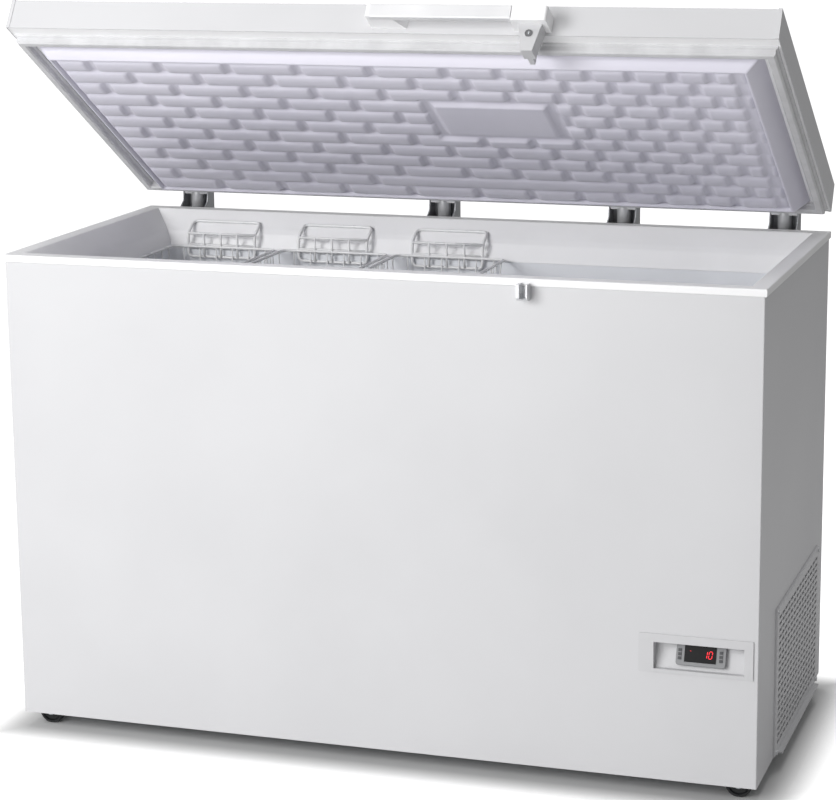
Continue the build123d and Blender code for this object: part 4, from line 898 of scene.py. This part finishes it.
# %% Lit bars and the glow
segment_ends = {"a": ((0, 1), (1, 1)), "b": ((1, 1), (1, 0)), "c": ((1, 0), (1, -1)),
                "d": ((0, -1), (1, -1)), "e": ((0, 0), (0, -1)), "f": ((0, 1), (0, 0))}
figure_w, figure_h, figure_v, slant = 0.0052, 0.0056, 0.002, 0.12
bar_width, bar_trim = 0.0009, 0.8
figures = ((0.0045, "bc"), (0.0125, "abcdef"))
dot_u, dot_v, dot_radius = -0.0165, 0.0065, 0.0006
bars = []
for left, lit in figures:
    for key in lit:
        a, b = (np.array([left + x * figure_w, figure_v + y * figure_h])
                for x, y in segment_ends[key])
        along = (b - a) / np.linalg.norm(b - a)
        a, b = a + along * bar_width * bar_trim, b - along * bar_width * bar_trim
        across = np.array([-along[1], along[0]]) * bar_width / 2
        flat = np.array([a - across, b - across, b + across, a + across])
        bars.append(bar_between(flat[:, 0] + slant * (flat[:, 1] - figure_v), flat[:, 1]))
around = np.linspace(0, 2 * np.pi, 4, endpoint=False)
bars.append(bar_between(dot_u + dot_radius * np.cos(around), dot_v + dot_radius * np.sin(around)))
bars = np.array(bars)
# A light-emitting segment looks flat and bright with hardly any shading of its own.
glow = bpy.data.materials.new("red_light_emitting_segments")
glow.use_nodes = True
segment = glow.node_tree.nodes["Principled BSDF"]
segment.inputs["Base Color"].default_value = paint("#C01020")
segment.inputs["Emission Color"].default_value = paint("#FF2030")
segment.inputs["Emission Strength"].default_value = 1.6
piece("display_figures", bars, repeated(capped(2), 8, len(bars)), glow, "cabinet",
      "display_black", smooth=False)

# %% [markdown]
# ## Floor, world and lamps
# The studio is a white floor under soft light from the front left, so the right side
# falls into grey as in the photograph. The floor glows to the camera alone, through the
# Light Path node, so that it reads as white paper. The glow fades out over the last ten
# centimetres before the cabinet, where it would wash away the shadow.

# %% White floor that keeps the shadow
floor_corners = [(-40, -12, 0), (40, -12, 0), (40, 60, 0), (-40, 60, 0)]
shadow_reach, floor_glow = 0.1, 0.9
floor_mesh = bpy.data.meshes.new("studio_floor")
floor_mesh.from_pydata(floor_corners, [], [(0, 1, 2, 3)])
studio_floor = bpy.data.objects.new("studio_floor", floor_mesh)
bpy.context.scene.collection.objects.link(studio_floor)
# Matt paint: it takes a soft shadow and mirrors nothing.
floor_paint = bpy.data.materials.new("studio_floor_white")
floor_paint.use_nodes = True
tree = floor_paint.node_tree
matte = tree.nodes["Principled BSDF"]
matte.inputs["Base Color"].default_value = paint("#D8D8D8")
matte.inputs["Roughness"].default_value = 0.9
matte.inputs["Emission Color"].default_value = paint("#FFFFFF")
place = add(tree, "ShaderNodeTexCoord")
apart = add(tree, "ShaderNodeSeparateXYZ", inputs={"Vector": place.outputs["Object"]})
outside = []
for axis, half in (("X", cabinet_x), ("Y", cabinet_y)):
    size = add(tree, "ShaderNodeMath", {"operation": "ABSOLUTE"}, {0: apart.outputs[axis]})
    outside.append(add(tree, "ShaderNodeMath", {"operation": "SUBTRACT"},
                       {0: size.outputs["Value"], 1: half}))
away = add(tree, "ShaderNodeMath", {"operation": "MAXIMUM"},
           {0: outside[0].outputs["Value"], 1: outside[1].outputs["Value"]})
fade = add(tree, "ShaderNodeMapRange", {"interpolation_type": "SMOOTHSTEP"}, {
    "Value": away.outputs["Value"], "From Min": 0.0, "From Max": shadow_reach,
    "To Min": 0.0, "To Max": floor_glow})
seen = add(tree, "ShaderNodeLightPath")
lift = add(tree, "ShaderNodeMath", {"operation": "MULTIPLY"},
           {0: seen.outputs["Is Camera Ray"], 1: fade.outputs["Result"]})
tree.links.new(lift.outputs["Value"], matte.inputs["Emission Strength"])
floor_mesh.materials.append(floor_paint)
print("the floor glows by", floor_glow, "from", shadow_reach, "m off the cabinet")

# %% World: white to the camera and through clear parts, dimmer as light
world_light = 0.32
world = bpy.data.worlds.new("studio_world")
world.use_nodes = True
bpy.context.scene.world = world
tree = world.node_tree
backdrop = tree.nodes["Background"]
backdrop.inputs["Color"].default_value = paint("#FFFFFF")
seen = add(tree, "ShaderNodeLightPath")
either = add(tree, "ShaderNodeMath", {"operation": "MAXIMUM"}, {
    0: seen.outputs["Is Camera Ray"], 1: seen.outputs["Is Transmission Ray"]})
level = add(tree, "ShaderNodeMapRange", inputs={
    "Value": either.outputs["Value"], "To Min": world_light, "To Max": 1.0})
tree.links.new(level.outputs["Result"], backdrop.inputs["Strength"])
print("world strength as light:", world_light)


# %% Soft lamps
def soft_lamp(name, place, target, size, watts):
    """A square area lamp that faces its target.

    It looks down its own -Z, so it tips by the angle between straight down and the
    target, and turns about Z towards it.
    """
    light = bpy.data.lights.new(name, "AREA")
    light.shape = "SQUARE"
    light.size = size
    light.energy = watts
    made = bpy.data.objects.new(name, light)
    aim = np.array(target) - np.array(place)
    made.location = place
    made.rotation_euler = (
        float(np.arctan2(np.hypot(aim[0], aim[1]), -aim[2])), 0.0,
        float(np.arctan2(aim[1], aim[0]) - np.pi / 2))
    bpy.context.scene.collection.objects.link(made)
    print(name, watts, "W from", round(float(np.linalg.norm(aim)), 2), "m")


soft_lamp("key_softbox", (-2.2, -3.2, 2.2), (0, 0, 0.8), 1.6, 92)
soft_lamp("front_fill", (-0.8, -3.4, 1.0), (0, 0, 0.9), 1.5, 36)
soft_lamp("top_softbox", (0.0, 0.4, 4.2), (0, 0, 0.8), 3.0, 70)

# %% [markdown]
# ## The view transform
# The Standard view keeps a white floor white.

bpy.context.scene.view_settings.view_transform = "Standard"
